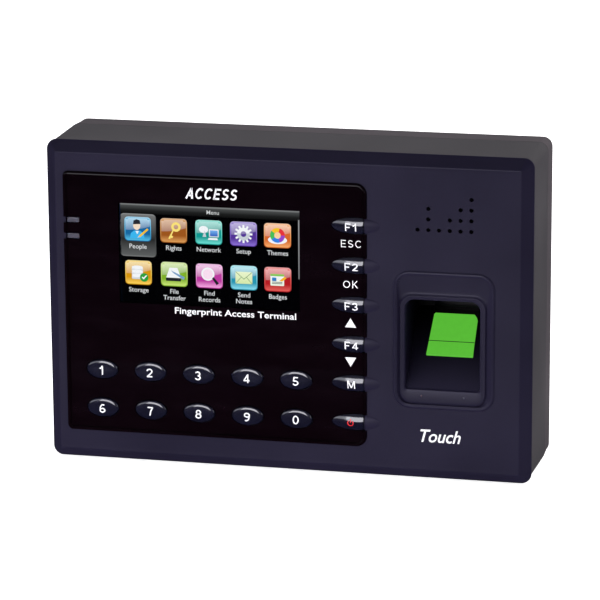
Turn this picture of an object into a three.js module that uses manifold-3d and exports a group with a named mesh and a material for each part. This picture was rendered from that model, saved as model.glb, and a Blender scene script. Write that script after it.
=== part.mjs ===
// Wall-mounted fingerprint scanner terminal: a bevelled front cover with a gloss lens over the display
// and the sprung keys, a finger well with an optical reader, a housing, a rear cover and a wall plate.
// Millimetres. +X is to the right of someone facing the terminal, +Y goes into its depth, +Z is up.
// The whole part stands on z = 0, centred on x = 0 and y = 0.
// Inside the assembly group, y = 0 is the flat front face and z = 0 is half the front's height.

import * as THREE from "three";
import { mergeVertices } from "three/addons/utils/BufferGeometryUtils.js";
import Module from "manifold-3d";

const wasm = await Module();
wasm.setup();

// ---------------------------------------------------------------- driving dimensions

const bodyWidth = 176; // across the front rim
const bodyHeight = 116.9;
const bevelWidth = 3.4;
const bevelDepth = 4.1;
const housingDepth = 28.5; // front rim to parting line
const rearDepth = 11.5; // parting line to the back
const partingFlare = 0.47; // how far each side stands out at the parting line
const rearDraft = 0.35; // how far each side comes in again towards the back
const cornerRadius = 3.3;
const bevelCornerRadius = 0.6;

const wall = 2.4;
const seam = 0.15; // gap at a joint between two visible pieces
const slip = 0.3; // gap round a piece that is dropped in or fastened
const run = 0.25; // gap round a key in its hole

const panelThickness = 3.5;
const lipDepth = 3;
const lipWall = 1.6;

const lensWidth = 109.4;
const lensHeight = 94.1;
const lensThickness = 1.5;
const lensMarginLeft = 7.3;
const lensMarginBottom = 11.6;
const lensRadiusOuter = 1; // corners towards the left edge
const lensRadiusInner = 3; // corners towards the reader

const keyPitchX = 18;
const keyPitchZ = 14.34;
const keyColumns = 5;
const firstKeyFromLensLeft = 12.5;
const bottomRowFromLensBottom = 8;
const numberKeyWidth = 11.7;
const numberKeyHeight = 7.1;
const numberKeyRise = 0.9;
const functionKeyWidth = 17.4;
const functionKeyHeight = 5.8;
const functionKeyRise = 1.2;
const functionKeyFromLensRight = 3; // ellipse centre to the lens edge
const keyTravel = 1;
const keyFlange = 0.8; // how far a key's foot is wider than its hole
const keyFlangeThickness = 1;
const padThickness = 1;
const boardThickness = 1.6;

const screenWidth = 66.5; // lit area
const screenHeight = 36.6;
const screenFromLensLeft = 19.5;
const screenFromLensTop = 10;
const screenBorder = 3.7;
const displayThickness = 3;
const bracketThickness = 1;
const bracketBorder = 4;

const pipeWidth = 4.5;
const pipeHeight = 1.8;
const pipePitch = 5.9;
const pipeInset = 0.4;
const topPipeFromLensTop = 16.9;

const readerWidth = 35.6;
const readerHeight = 49.2;
const readerRadius = 5.6;
const readerMarginRight = 12.9;
const readerMarginBottom = 26.4;
const readerEdge = 0.8; // chamfer along the seam
const wellWidth = 27.2;
const wellHeight = 34.8;
const wellDepth = 26;
const wellRadius = 4;
const wellFromReaderBottom = 6.6;
const wellLipDepth = 1.8;
const dishBorder = 1.3;
const rampHeight = 24.5; // rise of the ramp from the lip to its head
const rampHeadDepth = 25;
const wellWall = 1.6;
const flangeBorder = 1.5;

const windowWidthFoot = 17;
const windowWidthHead = 15.4;
const windowLength = 17.2;
const windowFromLip = 13.6; // measured along the ramp
const windowProud = 0.25;
const prismThickness = 6;

const speakerPitch = 3.82;
const speakerHoleRadius = 0.75;
const speakerColumnFromRight = 21.1;
const speakerRowFromTop = 14.4;
const speakerRadius = 14;
const speakerDepth = 7;

const bossInset = 9;
const bossRadius = 3.5;
const bossBore = 1.6;
const screwRadius = 1.4;
const screwLength = 13;
const screwHeadRadius = 2.8;
const screwHeadHeight = 2;
const screwWeb = 3.5; // rear cover left under a screw head

const plateWidth = 150;
const plateHeight = 91;
const plateThickness = 1.5;
const plateRadius = 4;
const rearPanel = 2.3;
const cableWidth = 50;
const cableHeight = 34;
const cableCentreZ = -8;
const hookWidth = 9;
const hookThickness = 1.2;
const hookReach = 3.5;
const hookX = 60;
const hookZ = 25;
const keyholeX = 42;
const keyholeUpperZ = 18;
const keyholeLowerZ = -34;
const keyholeRadius = 4.2;
const keyholeSlot = 2.2; // half the width of the slot
const keyholeReach = 7;
const tabWidth = 16;
const tabDepth = 9;

const mainBoardDepth = 14.6; // front face of the main board
const mainBoardFromLensLeft = 9.8;
const mainBoardFromWell = 5;
const ribbonThickness = 0.3;
const readerClearBack = 1.4; // between the reader's flat cable and the rear panel
const portGap = 0.3;
const jackWidth = 16;
const jackHeight = 13.5;
const jackLength = 21;
const usbWidth = 13.2;
const usbHeight = 5.8;
const usbLength = 14;
const powerWidth = 9;
const powerHeight = 11;
const powerLength = 14;

const keySides = 16; // facets round an elliptical key and its hole
const screwSides = 8;

// ---------------------------------------------------------------- places that follow from them

const bodyDepth = bevelDepth + housingDepth + rearDepth;
const partingY = bevelDepth + housingDepth;
const halfWidth = bodyWidth / 2;
const halfHeight = bodyHeight / 2;
const lensLeft = lensMarginLeft - halfWidth;
const lensRight = lensLeft + lensWidth;
const lensBottom = lensMarginBottom - halfHeight;
const lensTop = lensBottom + lensHeight;
const recessDepth = lensThickness + slip;
const recessRight = lensRight + seam;

const keyX = (column) => lensLeft + firstKeyFromLensLeft + column * keyPitchX;
const keyZ = (row) => lensBottom + bottomRowFromLensBottom + row * keyPitchZ; // row 0 is the lowest
const functionKeyX = lensRight - functionKeyFromLensRight;
const flangeY = lensThickness + 0.4;
const padY = flangeY + keyFlangeThickness + keyTravel + 0.4;
const keyBoardY = padY + padThickness + slip;

const screenLeft = lensLeft + screenFromLensLeft;
const screenTop = lensTop - screenFromLensTop;
const displayY = lensThickness + 0.5;
const display = {
  x0: screenLeft - screenBorder,
  x1: screenLeft + screenWidth + screenBorder,
  z0: screenTop - screenHeight - screenBorder,
  z1: screenTop + screenBorder,
};

const readerX = halfWidth - readerMarginRight - readerWidth / 2;
const readerZ = readerMarginBottom + readerHeight / 2 - halfHeight;
const lipZ = readerZ - readerHeight / 2 + wellFromReaderBottom;
const wellTop = lipZ + wellHeight;
const wellZ = lipZ + wellHeight / 2;
const rampHeadZ = lipZ + rampHeight;
const rampAngle = Math.atan2(rampHeadDepth - wellLipDepth, rampHeight); // away from upright

const speakerX = (column) => halfWidth - speakerColumnFromRight - (5 - column) * speakerPitch;
const speakerZ = (row) => halfHeight - speakerRowFromTop - row * speakerPitch;

const bossX = halfWidth - bossInset;
const bossZ = halfHeight - bossInset;
const recessFloorY = bodyDepth - plateThickness - 0.4;
const rearPanelY = recessFloorY - rearPanel;
const screwSeatY = rearPanelY + 1;
const bossEndY = screwSeatY - screwWeb;

const mainBoardBack = mainBoardDepth + boardThickness;
const portY = mainBoardBack + portGap;
const innerBottom = wall - halfHeight;
const mainBoardRight = readerX - wellWidth / 2 - wellWall - mainBoardFromWell;
const mainBoardLeft = lensLeft + mainBoardFromLensLeft;
const readerBack = rearPanelY - readerClearBack - ribbonThickness - boardThickness - 2 * slip;

// ---------------------------------------------------------------- solids and meshes

const terminal = new THREE.Group();
const assembly = new THREE.Group();
assembly.position.set(0, -(bodyDepth - functionKeyRise) / 2, halfHeight + partingFlare);
terminal.add(assembly);

function solid(geometry) {
  const bare = geometry.clone();
  for (const name of Object.keys(bare.attributes)) {
    if (name !== "position") bare.deleteAttribute(name);
  }
  const merged = mergeVertices(bare, 1e-4);
  const vertProperties = new Float32Array(merged.attributes.position.array);
  const triVerts = new Uint32Array(merged.index.array);
  return new wasm.Manifold(new wasm.Mesh({ numProp: 3, vertProperties, triVerts }));
}

const join = (first, ...others) => others.reduce((whole, part) => whole.add(part), first);
const cut = (first, ...others) => others.reduce((whole, part) => whole.subtract(part), first);

function piece(name, made, material) {
  const mesh = made.getMesh();
  const geometry = new THREE.BufferGeometry();
  geometry.setAttribute("position", new THREE.BufferAttribute(mesh.vertProperties, 3));
  geometry.setIndex(new THREE.BufferAttribute(mesh.triVerts, 1));
  geometry.computeVertexNormals();
  const part = new THREE.Mesh(geometry, material);
  part.name = name;
  assembly.add(part);
  return part;
}

// A box between two corners, each given as [x, y, z].
function box([x0, y0, z0], [x1, y1, z1]) {
  const geometry = new THREE.BoxGeometry(x1 - x0, y1 - y0, z1 - z0);
  geometry.translate((x0 + x1) / 2, (y0 + y1) / 2, (z0 + z1) / 2);
  return solid(geometry);
}

// A round bar along the depth, or along the height.
function bar(radius, y0, y1, x, z, sides = 24) {
  const geometry = new THREE.CylinderGeometry(radius, radius, y1 - y0, sides);
  return solid(geometry.translate(x, (y0 + y1) / 2, z));
}

function post(radius, z0, z1, x, y, sides = 24) {
  const geometry = new THREE.CylinderGeometry(radius, radius, z1 - z0, sides);
  return solid(geometry.rotateX(Math.PI / 2).translate(x, y, (z0 + z1) / 2));
}

// An upright outline, drawn in x and z, carried through the depth from y0 to y1.
function slab(shape, y0, y1, curveSegments = 5) {
  const options = { depth: y1 - y0, bevelEnabled: false, curveSegments };
  const geometry = new THREE.ExtrudeGeometry(shape, options);
  return solid(geometry.rotateX(Math.PI / 2).translate(0, y1, 0));
}

// A side view, drawn in y and z, carried across from x0 to x1.
function sideSlab(points, x0, x1) {
  const shape = new THREE.Shape(points.map(([y, z]) => new THREE.Vector2(y, z)));
  const geometry = new THREE.ExtrudeGeometry(shape, { depth: x1 - x0, bevelEnabled: false });
  const across = new THREE.Matrix4().makeBasis(
    new THREE.Vector3(0, 1, 0),
    new THREE.Vector3(0, 0, 1),
    new THREE.Vector3(1, 0, 0),
  );
  return solid(geometry.applyMatrix4(across).translate(x0, 0, 0));
}

// A rectangle with a radius for each corner: bottom left, bottom right, top right, top left.
function roundedRect(width, height, radii, x = 0, z = 0) {
  const corners = Array.isArray(radii) ? radii : Array(4).fill(radii);
  const [bottomLeft, bottomRight, topRight, topLeft] = corners;
  const shape = new THREE.Shape();
  const right = x + width / 2;
  const left = x - width / 2;
  const top = z + height / 2;
  const bottom = z - height / 2;
  shape.absarc(right - bottomRight, bottom + bottomRight, bottomRight, -Math.PI / 2, 0);
  shape.absarc(right - topRight, top - topRight, topRight, 0, Math.PI / 2);
  shape.absarc(left + topLeft, top - topLeft, topLeft, Math.PI / 2, Math.PI);
  shape.absarc(left + bottomLeft, bottom + bottomLeft, bottomLeft, Math.PI, Math.PI * 1.5);
  shape.closePath();
  return shape;
}

// A solid through outlines of equal point count, front to back: each section is [y, shape].
function loft(sections, curveSegments = 4) {
  const outlines = sections.map(([, shape]) => {
    const points = shape.getPoints(curveSegments);
    if (points[0].distanceTo(points.at(-1)) < 1e-6) points.pop();
    return points;
  });
  const count = outlines[0].length;
  const vertices = sections.flatMap(([y], ring) => outlines[ring].flatMap((p) => [p.x, y, p.y]));
  const index = [];
  for (let ring = 0; ring + 1 < sections.length; ring += 1) {
    for (let i = 0; i < count; i += 1) {
      const front = ring * count + i;
      const nextFront = ring * count + ((i + 1) % count);
      index.push(front, front + count, nextFront);
      index.push(nextFront, front + count, nextFront + count);
    }
  }
  const last = (sections.length - 1) * count;
  for (const [a, b, c] of THREE.ShapeUtils.triangulateShape(outlines[0], [])) index.push(a, b, c);
  for (const [a, b, c] of THREE.ShapeUtils.triangulateShape(outlines.at(-1), [])) {
    index.push(last + a, last + c, last + b);
  }
  const geometry = new THREE.BufferGeometry();
  geometry.setAttribute("position", new THREE.Float32BufferAttribute(vertices, 3));
  geometry.setIndex(index);
  return solid(geometry);
}

// A turned form about the depth axis, stretched sideways: profile points are [radius, y].
function turned(profile, x, z, stretch = 1, sides = 24) {
  const points = profile.map(([radius, y]) => new THREE.Vector2(radius, y));
  const geometry = new THREE.LatheGeometry(points, sides);
  return solid(geometry.scale(stretch, 1, 1).translate(x, 0, z));
}

function finish(color, roughness, metalness = 0) {
  return new THREE.MeshStandardMaterial({ color, roughness, metalness });
}

const navyPlastic = finish(0x22202d, 0.55);
const greyPlastic = finish(0x4b484a, 0.6);
const blackGloss = finish(0x060508, 0.08);
const keyGloss = finish(0x14131a, 0.15);
const siliconeRubber = finish(0x55585c, 0.8);
const circuitBoard = finish(0x1c5a34, 0.5);
const darkSteel = finish(0x8b8e92, 0.4, 0.9);
const plainSteel = finish(0xb4b7ba, 0.35, 1);
const screenGlass = finish(0x0a0c10, 0.12);
const frostedClear = finish(0x9c97ad, 0.35);
const greenGlass = finish(0x58b837, 0.15);
const blackPlastic = finish(0x131316, 0.5);
const greenPlastic = finish(0x2f8f4e, 0.45);
const batteryWrap = finish(0x35507c, 0.4);
const goldFlex = finish(0xb07b2d, 0.4);
const blackFoam = finish(0x1a1a1c, 0.95);

// ---------------------------------------------------------------- keys

// The domed top of an elliptical key, from its middle out to its edge.
function keyCrown(height, rise) {
  const radius = height / 2;
  return [0, 0.5, 0.85, 1].map((share) => [radius * share, -rise * Math.sqrt(1 - share ** 2)]);
}

// An upright disc as wide and high as a key, with a border round it.
function ellipseDisc(width, height, border, y0, y1, x, z) {
  const geometry = new THREE.CylinderGeometry(1, 1, y1 - y0, keySides);
  geometry.scale(width / 2 + border, 1, height / 2 + border);
  return solid(geometry.translate(x, (y0 + y1) / 2, z));
}

// A key with a straight shank and a wider foot that the lens holds in.
function ellipseKey(width, height, rise, x, z) {
  const footEnd = flangeY + keyFlangeThickness;
  const profile = [...keyCrown(height, rise), [height / 2, footEnd], [0, footEnd]];
  const foot = ellipseDisc(width, height, run + keyFlange, flangeY, footEnd, x, z);
  return join(turned(profile, x, z, width / height, keySides), foot);
}

function keyHole(width, height, x, z) {
  return ellipseDisc(width, height, run, -1, lensThickness + 1, x, z);
}

const numberKeys = [];
for (let digit = 0; digit < 10; digit += 1) {
  const place = (digit + 9) % 10; // 1 comes first and 0 last
  numberKeys.push({
    name: `key_${digit}`,
    x: keyX(place % keyColumns),
    z: keyZ(place < keyColumns ? 1 : 0),
  });
}

const functionKeyNames = ["key_power", "key_menu", "key_f4", "key_f3", "key_f2", "key_f1"];
const functionKeys = functionKeyNames.map((name, row) => ({ name, x: functionKeyX, z: keyZ(row) }));

function makeKeys() {
  for (const { name, x, z } of numberKeys) {
    piece(name, ellipseKey(numberKeyWidth, numberKeyHeight, numberKeyRise, x, z), keyGloss);
  }
  const leftOfEdge = box([lensLeft, -9, -halfHeight], [recessRight - slip, 9, halfHeight]);
  for (const { name, x, z } of functionKeys) {
    const whole = ellipseKey(functionKeyWidth, functionKeyHeight, functionKeyRise, x, z);
    piece(name, whole.intersect(leftOfEdge), keyGloss);
  }
}

// ---------------------------------------------------------------- front cover and lens

function lensOutline(grow) {
  const outer = lensRadiusOuter + grow;
  const inner = lensRadiusInner + grow;
  const width = lensWidth + 2 * grow;
  const height = lensHeight + 2 * grow;
  const centreX = (lensLeft + lensRight) / 2;
  const centreZ = (lensBottom + lensTop) / 2;
  return roundedRect(width, height, [outer, inner, inner, outer], centreX, centreZ);
}

const pipeX = lensLeft + pipeInset + pipeWidth / 2;
const pipeZ = (index) => lensTop - topPipeFromLensTop - index * pipePitch;

function pipeBox(index, grow, y0, y1) {
  const z = pipeZ(index);
  return box(
    [pipeX - pipeWidth / 2 - grow, y0, z - pipeHeight / 2 - grow],
    [pipeX + pipeWidth / 2 + grow, y1, z + pipeHeight / 2 + grow],
  );
}

function makeLens() {
  let lens = slab(lensOutline(0), 0, lensThickness, 4);
  for (const { x, z } of numberKeys) {
    lens = cut(lens, keyHole(numberKeyWidth, numberKeyHeight, x, z));
  }
  for (const { x, z } of functionKeys) {
    lens = cut(lens, keyHole(functionKeyWidth, functionKeyHeight, x, z));
  }
  for (const index of [0, 1]) {
    const notch = pipeBox(index, run, -1, lensThickness + 1);
    const openSide = box(
      [lensLeft - 1, -1, pipeZ(index) - pipeHeight / 2 - run],
      [pipeX, lensThickness + 1, pipeZ(index) + pipeHeight / 2 + run],
    );
    lens = cut(lens, notch, openSide);
  }
  piece("lens_panel", lens, blackGloss);
}

// Which holes of the speaker grille are open, row by row from the top.
const speakerRows = [[5], [1, 4, 5], [1, 3, 4, 5], [0, 1, 2, 3, 4, 5]];

function coverBosses() {
  const bosses = [];
  for (const x of [-bossX, bossX]) {
    for (const z of [-bossZ, bossZ]) {
      const shell = bar(bossRadius, panelThickness - 1, bossEndY, x, z, 12);
      const boreDepth = screwLength - screwWeb + 2;
      bosses.push(cut(shell, bar(bossBore, bossEndY - boreDepth, bossEndY + 1, x, z, screwSides)));
    }
  }
  return bosses;
}

function functionKeyBumps() {
  const rightOfEdge = box([recessRight, -9, -halfHeight], [halfWidth, 1, halfHeight]);
  const crown = keyCrown(functionKeyHeight, functionKeyRise);
  const profile = [...crown, [functionKeyHeight / 2, 1], [0, 1]];
  const stretch = functionKeyWidth / functionKeyHeight;
  return functionKeys.map(({ x, z }) => turned(profile, x, z, stretch, keySides).intersect(rightOfEdge));
}

function makeFrontCover() {
  const outer = loft([
    [0, roundedRect(bodyWidth - 2 * bevelWidth, bodyHeight - 2 * bevelWidth, bevelCornerRadius)],
    [bevelDepth, roundedRect(bodyWidth, bodyHeight, cornerRadius)],
  ]);
  const lipInset = wall + slip;
  const lipEnd = bevelDepth + lipDepth;
  const lip = slab(
    roundedRect(bodyWidth - 2 * lipInset, bodyHeight - 2 * lipInset, cornerRadius / 2),
    bevelDepth - 1,
    lipEnd,
    3,
  );
  const hollow = slab(
    roundedRect(bodyWidth - 2 * (lipInset + lipWall), bodyHeight - 2 * (lipInset + lipWall), 1),
    panelThickness,
    lipEnd + 1,
    3,
  );
  let cover = cut(join(outer, lip), hollow);
  cover = cut(cover, slab(lensOutline(seam), -1, recessDepth, 4));
  const displayHole = box(
    [display.x0 - slip, 0, display.z0 - slip],
    [display.x1 + slip, panelThickness + 1, display.z1 + slip],
  );
  cover = cut(cover, displayHole);
  const fieldBorder = run + keyFlange + 0.6;
  const numberField = box(
    [
      keyX(0) - numberKeyWidth / 2 - fieldBorder,
      0,
      keyZ(0) - numberKeyHeight / 2 - fieldBorder,
    ],
    [
      keyX(keyColumns - 1) + numberKeyWidth / 2 + fieldBorder,
      panelThickness + 1,
      keyZ(1) + numberKeyHeight / 2 + fieldBorder,
    ],
  );
  const lastRow = functionKeys.length - 1;
  const functionField = box(
    [
      functionKeyX - functionKeyWidth / 2 - fieldBorder,
      0,
      keyZ(0) - functionKeyHeight / 2 - fieldBorder,
    ],
    [recessRight, panelThickness + 1, keyZ(lastRow) + functionKeyHeight / 2 + fieldBorder],
  );
  cover = cut(cover, numberField, functionField);
  for (const index of [0, 1]) cover = cut(cover, pipeBox(index, run, 0, panelThickness + 1));
  const holeWidth = readerWidth + 2 * run;
  const holeHeight = readerHeight + 2 * run;
  const readerHole = roundedRect(holeWidth, holeHeight, readerRadius, readerX, readerZ);
  cover = cut(cover, slab(readerHole, -1, panelThickness + 1, 6));
  speakerRows.forEach((columns, row) => {
    for (const column of columns) {
      const hole = bar(speakerHoleRadius, -1, panelThickness + 1, speakerX(column), speakerZ(row), 10);
      cover = cut(cover, hole);
    }
  });
  piece("front_cover", join(cover, ...coverBosses(), ...functionKeyBumps()), navyPlastic);
}

function makeLightPipes() {
  ["light_pipe_upper", "light_pipe_lower"].forEach((name, index) => {
    const stem = pipeBox(index, 0, 0, keyBoardY - slip);
    const collar = pipeBox(index, 0.9, panelThickness + slip, keyBoardY - slip);
    piece(name, join(stem, collar), frostedClear);
  });
  const boardBorder = 2.4;
  const indicatorBoard = box(
    [pipeX - pipeWidth / 2 - boardBorder, keyBoardY, pipeZ(1) - boardBorder * 2],
    [pipeX + pipeWidth / 2 + boardBorder, keyBoardY + boardThickness, pipeZ(0) + boardBorder * 2],
  );
  piece("indicator_board", indicatorBoard, circuitBoard);
}

// ---------------------------------------------------------------- keypad and display

// An L under all the keys: a foot under the number keys and a leg under the function keys.
function keypadOutline() {
  const border = 3;
  const left = keyX(0) - numberKeyWidth / 2 - border;
  const legLeft = functionKeyX - functionKeyWidth / 2 - border;
  const right = recessRight + border;
  const bottom = keyZ(0) - numberKeyHeight / 2 - border;
  const footTop = keyZ(1) + numberKeyHeight / 2 + border;
  const legTop = keyZ(functionKeys.length - 1) + functionKeyHeight / 2 + border;
  const corners = [
    [left, bottom],
    [right, bottom],
    [right, legTop],
    [legLeft, legTop],
    [legLeft, footTop],
    [left, footTop],
  ];
  return new THREE.Shape(corners.map(([x, z]) => new THREE.Vector2(x, z)));
}

function makeKeypad() {
  piece("keypad_mat", slab(keypadOutline(), padY, padY + padThickness), siliconeRubber);
  piece("keypad_board", slab(keypadOutline(), keyBoardY, keyBoardY + boardThickness), circuitBoard);
}

function makeDisplay() {
  const backY = displayY + displayThickness;
  const module = box([display.x0, displayY, display.z0], [display.x1, backY, display.z1]);
  piece("display_module", module, screenGlass);
  const bracketY = backY + slip;
  const plate = box(
    [display.x0 - bracketBorder, bracketY, display.z0 - bracketBorder],
    [display.x1 + bracketBorder, bracketY + bracketThickness, display.z1 + bracketBorder / 2],
  );
  const relief = box(
    [display.x0 + 12, bracketY - 1, display.z0 + 9],
    [display.x1 - 12, bracketY + bracketThickness + 1, display.z1 - 9],
  );
  piece("display_bracket", cut(plate, relief), plainSteel);
}

// ---------------------------------------------------------------- finger well and reader

// Turns a solid made flat, with its face on y = 0 and its foot on z = 0, onto the ramp.
function onRamp(made) {
  const turn = new THREE.Matrix4().makeRotationX(-rampAngle);
  const place = new THREE.Matrix4().makeTranslation(readerX, wellLipDepth, lipZ);
  return made.transform(place.multiply(turn).elements);
}

function windowShape(grow) {
  const foot = windowWidthFoot / 2 + grow;
  const head = windowWidthHead / 2 + grow;
  const low = windowFromLip - grow;
  const high = windowFromLip + windowLength + grow;
  const corners = [
    [-foot, low],
    [foot, low],
    [head, high],
    [-head, high],
  ];
  return new THREE.Shape(corners.map(([x, z]) => new THREE.Vector2(x, z)));
}

function makeReader() {
  const seamOutline = (grow) =>
    roundedRect(readerWidth + 2 * grow, readerHeight + 2 * grow, readerRadius + grow, readerX, readerZ);
  const wellOutline = (grow, top = wellRadius) =>
    roundedRect(
      wellWidth + 2 * grow,
      wellHeight + 2 * grow,
      [0.6 + grow, 0.6 + grow, top + grow, top + grow],
      readerX,
      wellZ,
    );
  const rim = loft([
    [seam, seamOutline(-readerEdge)],
    [seam + readerEdge, seamOutline(0)],
    [panelThickness + slip, seamOutline(0)],
  ]);
  const flange = slab(seamOutline(flangeBorder), panelThickness + slip, panelThickness + slip + 1.5);
  const behindRamp = wellWall / Math.cos(rampAngle);
  const tubFront = panelThickness + slip;
  const tubSide = [
    [tubFront, lipZ - 2 * behindRamp],
    [rampHeadDepth + wellWall, rampHeadZ - behindRamp - wellWall],
    [wellDepth + wellWall, rampHeadZ - behindRamp - wellWall],
    [wellDepth + wellWall, wellTop + wellWall],
    [tubFront, wellTop + wellWall],
  ];
  const tubLeft = readerX - wellWidth / 2 - wellWall;
  const tubRight = readerX + wellWidth / 2 + wellWall;
  const tub = sideSlab(tubSide, tubLeft, tubRight);
  const wellSide = [
    [wellLipDepth, lipZ],
    [rampHeadDepth, rampHeadZ],
    [wellDepth, rampHeadZ],
    [wellDepth, wellTop],
    [wellLipDepth, wellTop],
  ];
  const well = sideSlab(wellSide, readerX - wellWidth / 2, readerX + wellWidth / 2);
  const roundedWell = well.intersect(slab(wellOutline(0), 0, wellDepth + 1));
  const dish = loft([
    [seam - 0.5, seamOutline(-dishBorder)],
    [seam, seamOutline(-dishBorder)],
    [wellLipDepth, wellOutline(0)],
    [wellLipDepth + 0.01, wellOutline(0)],
  ]);
  const windowHole = onRamp(slab(windowShape(slip), -1, 9));
  const bezel = cut(join(rim, flange, tub), dish, roundedWell, windowHole);
  piece("reader_bezel", bezel, navyPlastic);

  piece("reader_prism", onRamp(slab(windowShape(0), -windowProud, prismThickness)), greenGlass);

  const clear = prismThickness + 1;
  const drop = clear / Math.sin(rampAngle);
  const bodyFront = panelThickness + 5;
  const bodyTopY = readerBack - 4;
  const bodyBottom = lipZ - 17;
  const rampZ = (y) => lipZ + ((y - wellLipDepth) * rampHeight) / (rampHeadDepth - wellLipDepth) - drop;
  const bodySide = [
    [bodyFront, bodyBottom],
    [readerBack, bodyBottom],
    [readerBack, rampZ(bodyTopY)],
    [bodyTopY, rampZ(bodyTopY)],
    [bodyFront, rampZ(bodyFront)],
  ];
  const bodyHalf = windowWidthFoot / 2 + 2;
  piece("reader_body", sideSlab(bodySide, readerX - bodyHalf, readerX + bodyHalf), blackPlastic);
  const readerBoard = box(
    [readerX - bodyHalf - 2, readerBack + slip, bodyBottom],
    [readerX + bodyHalf + 2, readerBack + slip + boardThickness, rampZ(bodyTopY)],
  );
  piece("reader_board", readerBoard, circuitBoard);

  // The flat cable from the reader board, round the reader's side to the main board.
  const cableY = readerBack + slip + boardThickness + slip;
  const cableX = readerX - bodyHalf - 5;
  const cableStart = mainBoardRight - 6;
  const outline = [
    [cableStart, portY],
    [cableX + ribbonThickness, portY],
    [cableX + ribbonThickness, cableY],
    [readerX - bodyHalf, cableY],
    [readerX - bodyHalf, cableY + ribbonThickness],
    [cableX, cableY + ribbonThickness],
    [cableX, portY + ribbonThickness],
    [cableStart, portY + ribbonThickness],
  ];
  const shape = new THREE.Shape(outline.map(([x, y]) => new THREE.Vector2(x, y)));
  const strip = new THREE.ExtrudeGeometry(shape, { depth: 10, bevelEnabled: false });
  piece("reader_ribbon", solid(strip.translate(0, 0, bodyBottom + 3)), goldFlex);
}

// ---------------------------------------------------------------- speaker

function makeSpeaker() {
  const x = (speakerX(0) + speakerX(5)) / 2;
  const z = (speakerZ(0) + speakerZ(3)) / 2;
  const gasketY = panelThickness + slip;
  const gasketEnd = gasketY + 1;
  const disc = bar(speakerRadius, gasketY, gasketEnd, x, z, 16);
  const opening = bar(speakerRadius - 2, gasketY - 1, gasketEnd + 1, x, z, 16);
  piece("speaker_gasket", cut(disc, opening), blackFoam);
  const y = gasketEnd + slip;
  const profile = [
    [0, y + 2.4],
    [speakerRadius - 5, y + 1.4],
    [speakerRadius - 2, y],
    [speakerRadius, y],
    [speakerRadius, y + 2],
    [speakerRadius * 0.6, y + speakerDepth * 0.6],
    [speakerRadius * 0.6, y + speakerDepth],
    [0, y + speakerDepth],
  ];
  piece("speaker", turned(profile, x, z, 1, 16), darkSteel);
}

// ---------------------------------------------------------------- housing

const ports = {
  jack: { x: mainBoardLeft + 30, width: jackWidth, height: jackHeight },
  usb: { x: mainBoardLeft + 54, width: usbWidth, height: usbHeight },
  power: { x: mainBoardLeft + 82, width: powerWidth, height: powerHeight },
};

// The space that each port takes through the bottom wall, and the rear cover's lip above it.
function portMouths() {
  return Object.values(ports).map(({ x, width, height }) =>
    box(
      [x - width / 2 - portGap, portY - portGap, -halfHeight - 2],
      [x + width / 2 + portGap, portY + height + portGap, innerBottom + 3],
    ),
  );
}

function makeHousing() {
  const wide = bodyWidth + 2 * partingFlare;
  const high = bodyHeight + 2 * partingFlare;
  const outer = loft([
    [bevelDepth + seam, roundedRect(bodyWidth, bodyHeight, cornerRadius)],
    [partingY - seam, roundedRect(wide, high, cornerRadius)],
  ]);
  const inner = slab(
    roundedRect(bodyWidth - 2 * wall, bodyHeight - 2 * wall, cornerRadius / 2),
    bevelDepth - 1,
    partingY + 1,
    3,
  );
  let housing = cut(outer, inner);
  housing = cut(housing, ...portMouths());
  const ledgeY = mainBoardBack + slip;
  const ledgeEnd = ledgeY + 3;
  const ledgeWidth = 9;
  const ledgeReach = 10;
  const innerTop = halfHeight - wall;
  for (const x of [mainBoardLeft + 12, mainBoardRight - 12]) {
    const x0 = x - ledgeWidth / 2;
    const x1 = x + ledgeWidth / 2;
    const upper = box([x0, ledgeY, innerTop - ledgeReach], [x1, ledgeEnd, innerTop + 1]);
    const lower = box([x0, ledgeY, innerBottom - 1], [x1, ledgeEnd, innerBottom + ledgeReach / 2]);
    housing = join(housing, upper, lower);
  }
  piece("main_housing", housing, greyPlastic);
}

// ---------------------------------------------------------------- rear cover, wall plate and screws

const tamperX = mainBoardRight - 14;
const tamperZ = 31;
const lockTabZ = -plateHeight / 2 + 2.5;
const lockBossRadius = 4;
const lockScrewY = rearPanelY - lockBossRadius + 1;
const lockSeatZ = innerBottom + 0.6;

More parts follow.
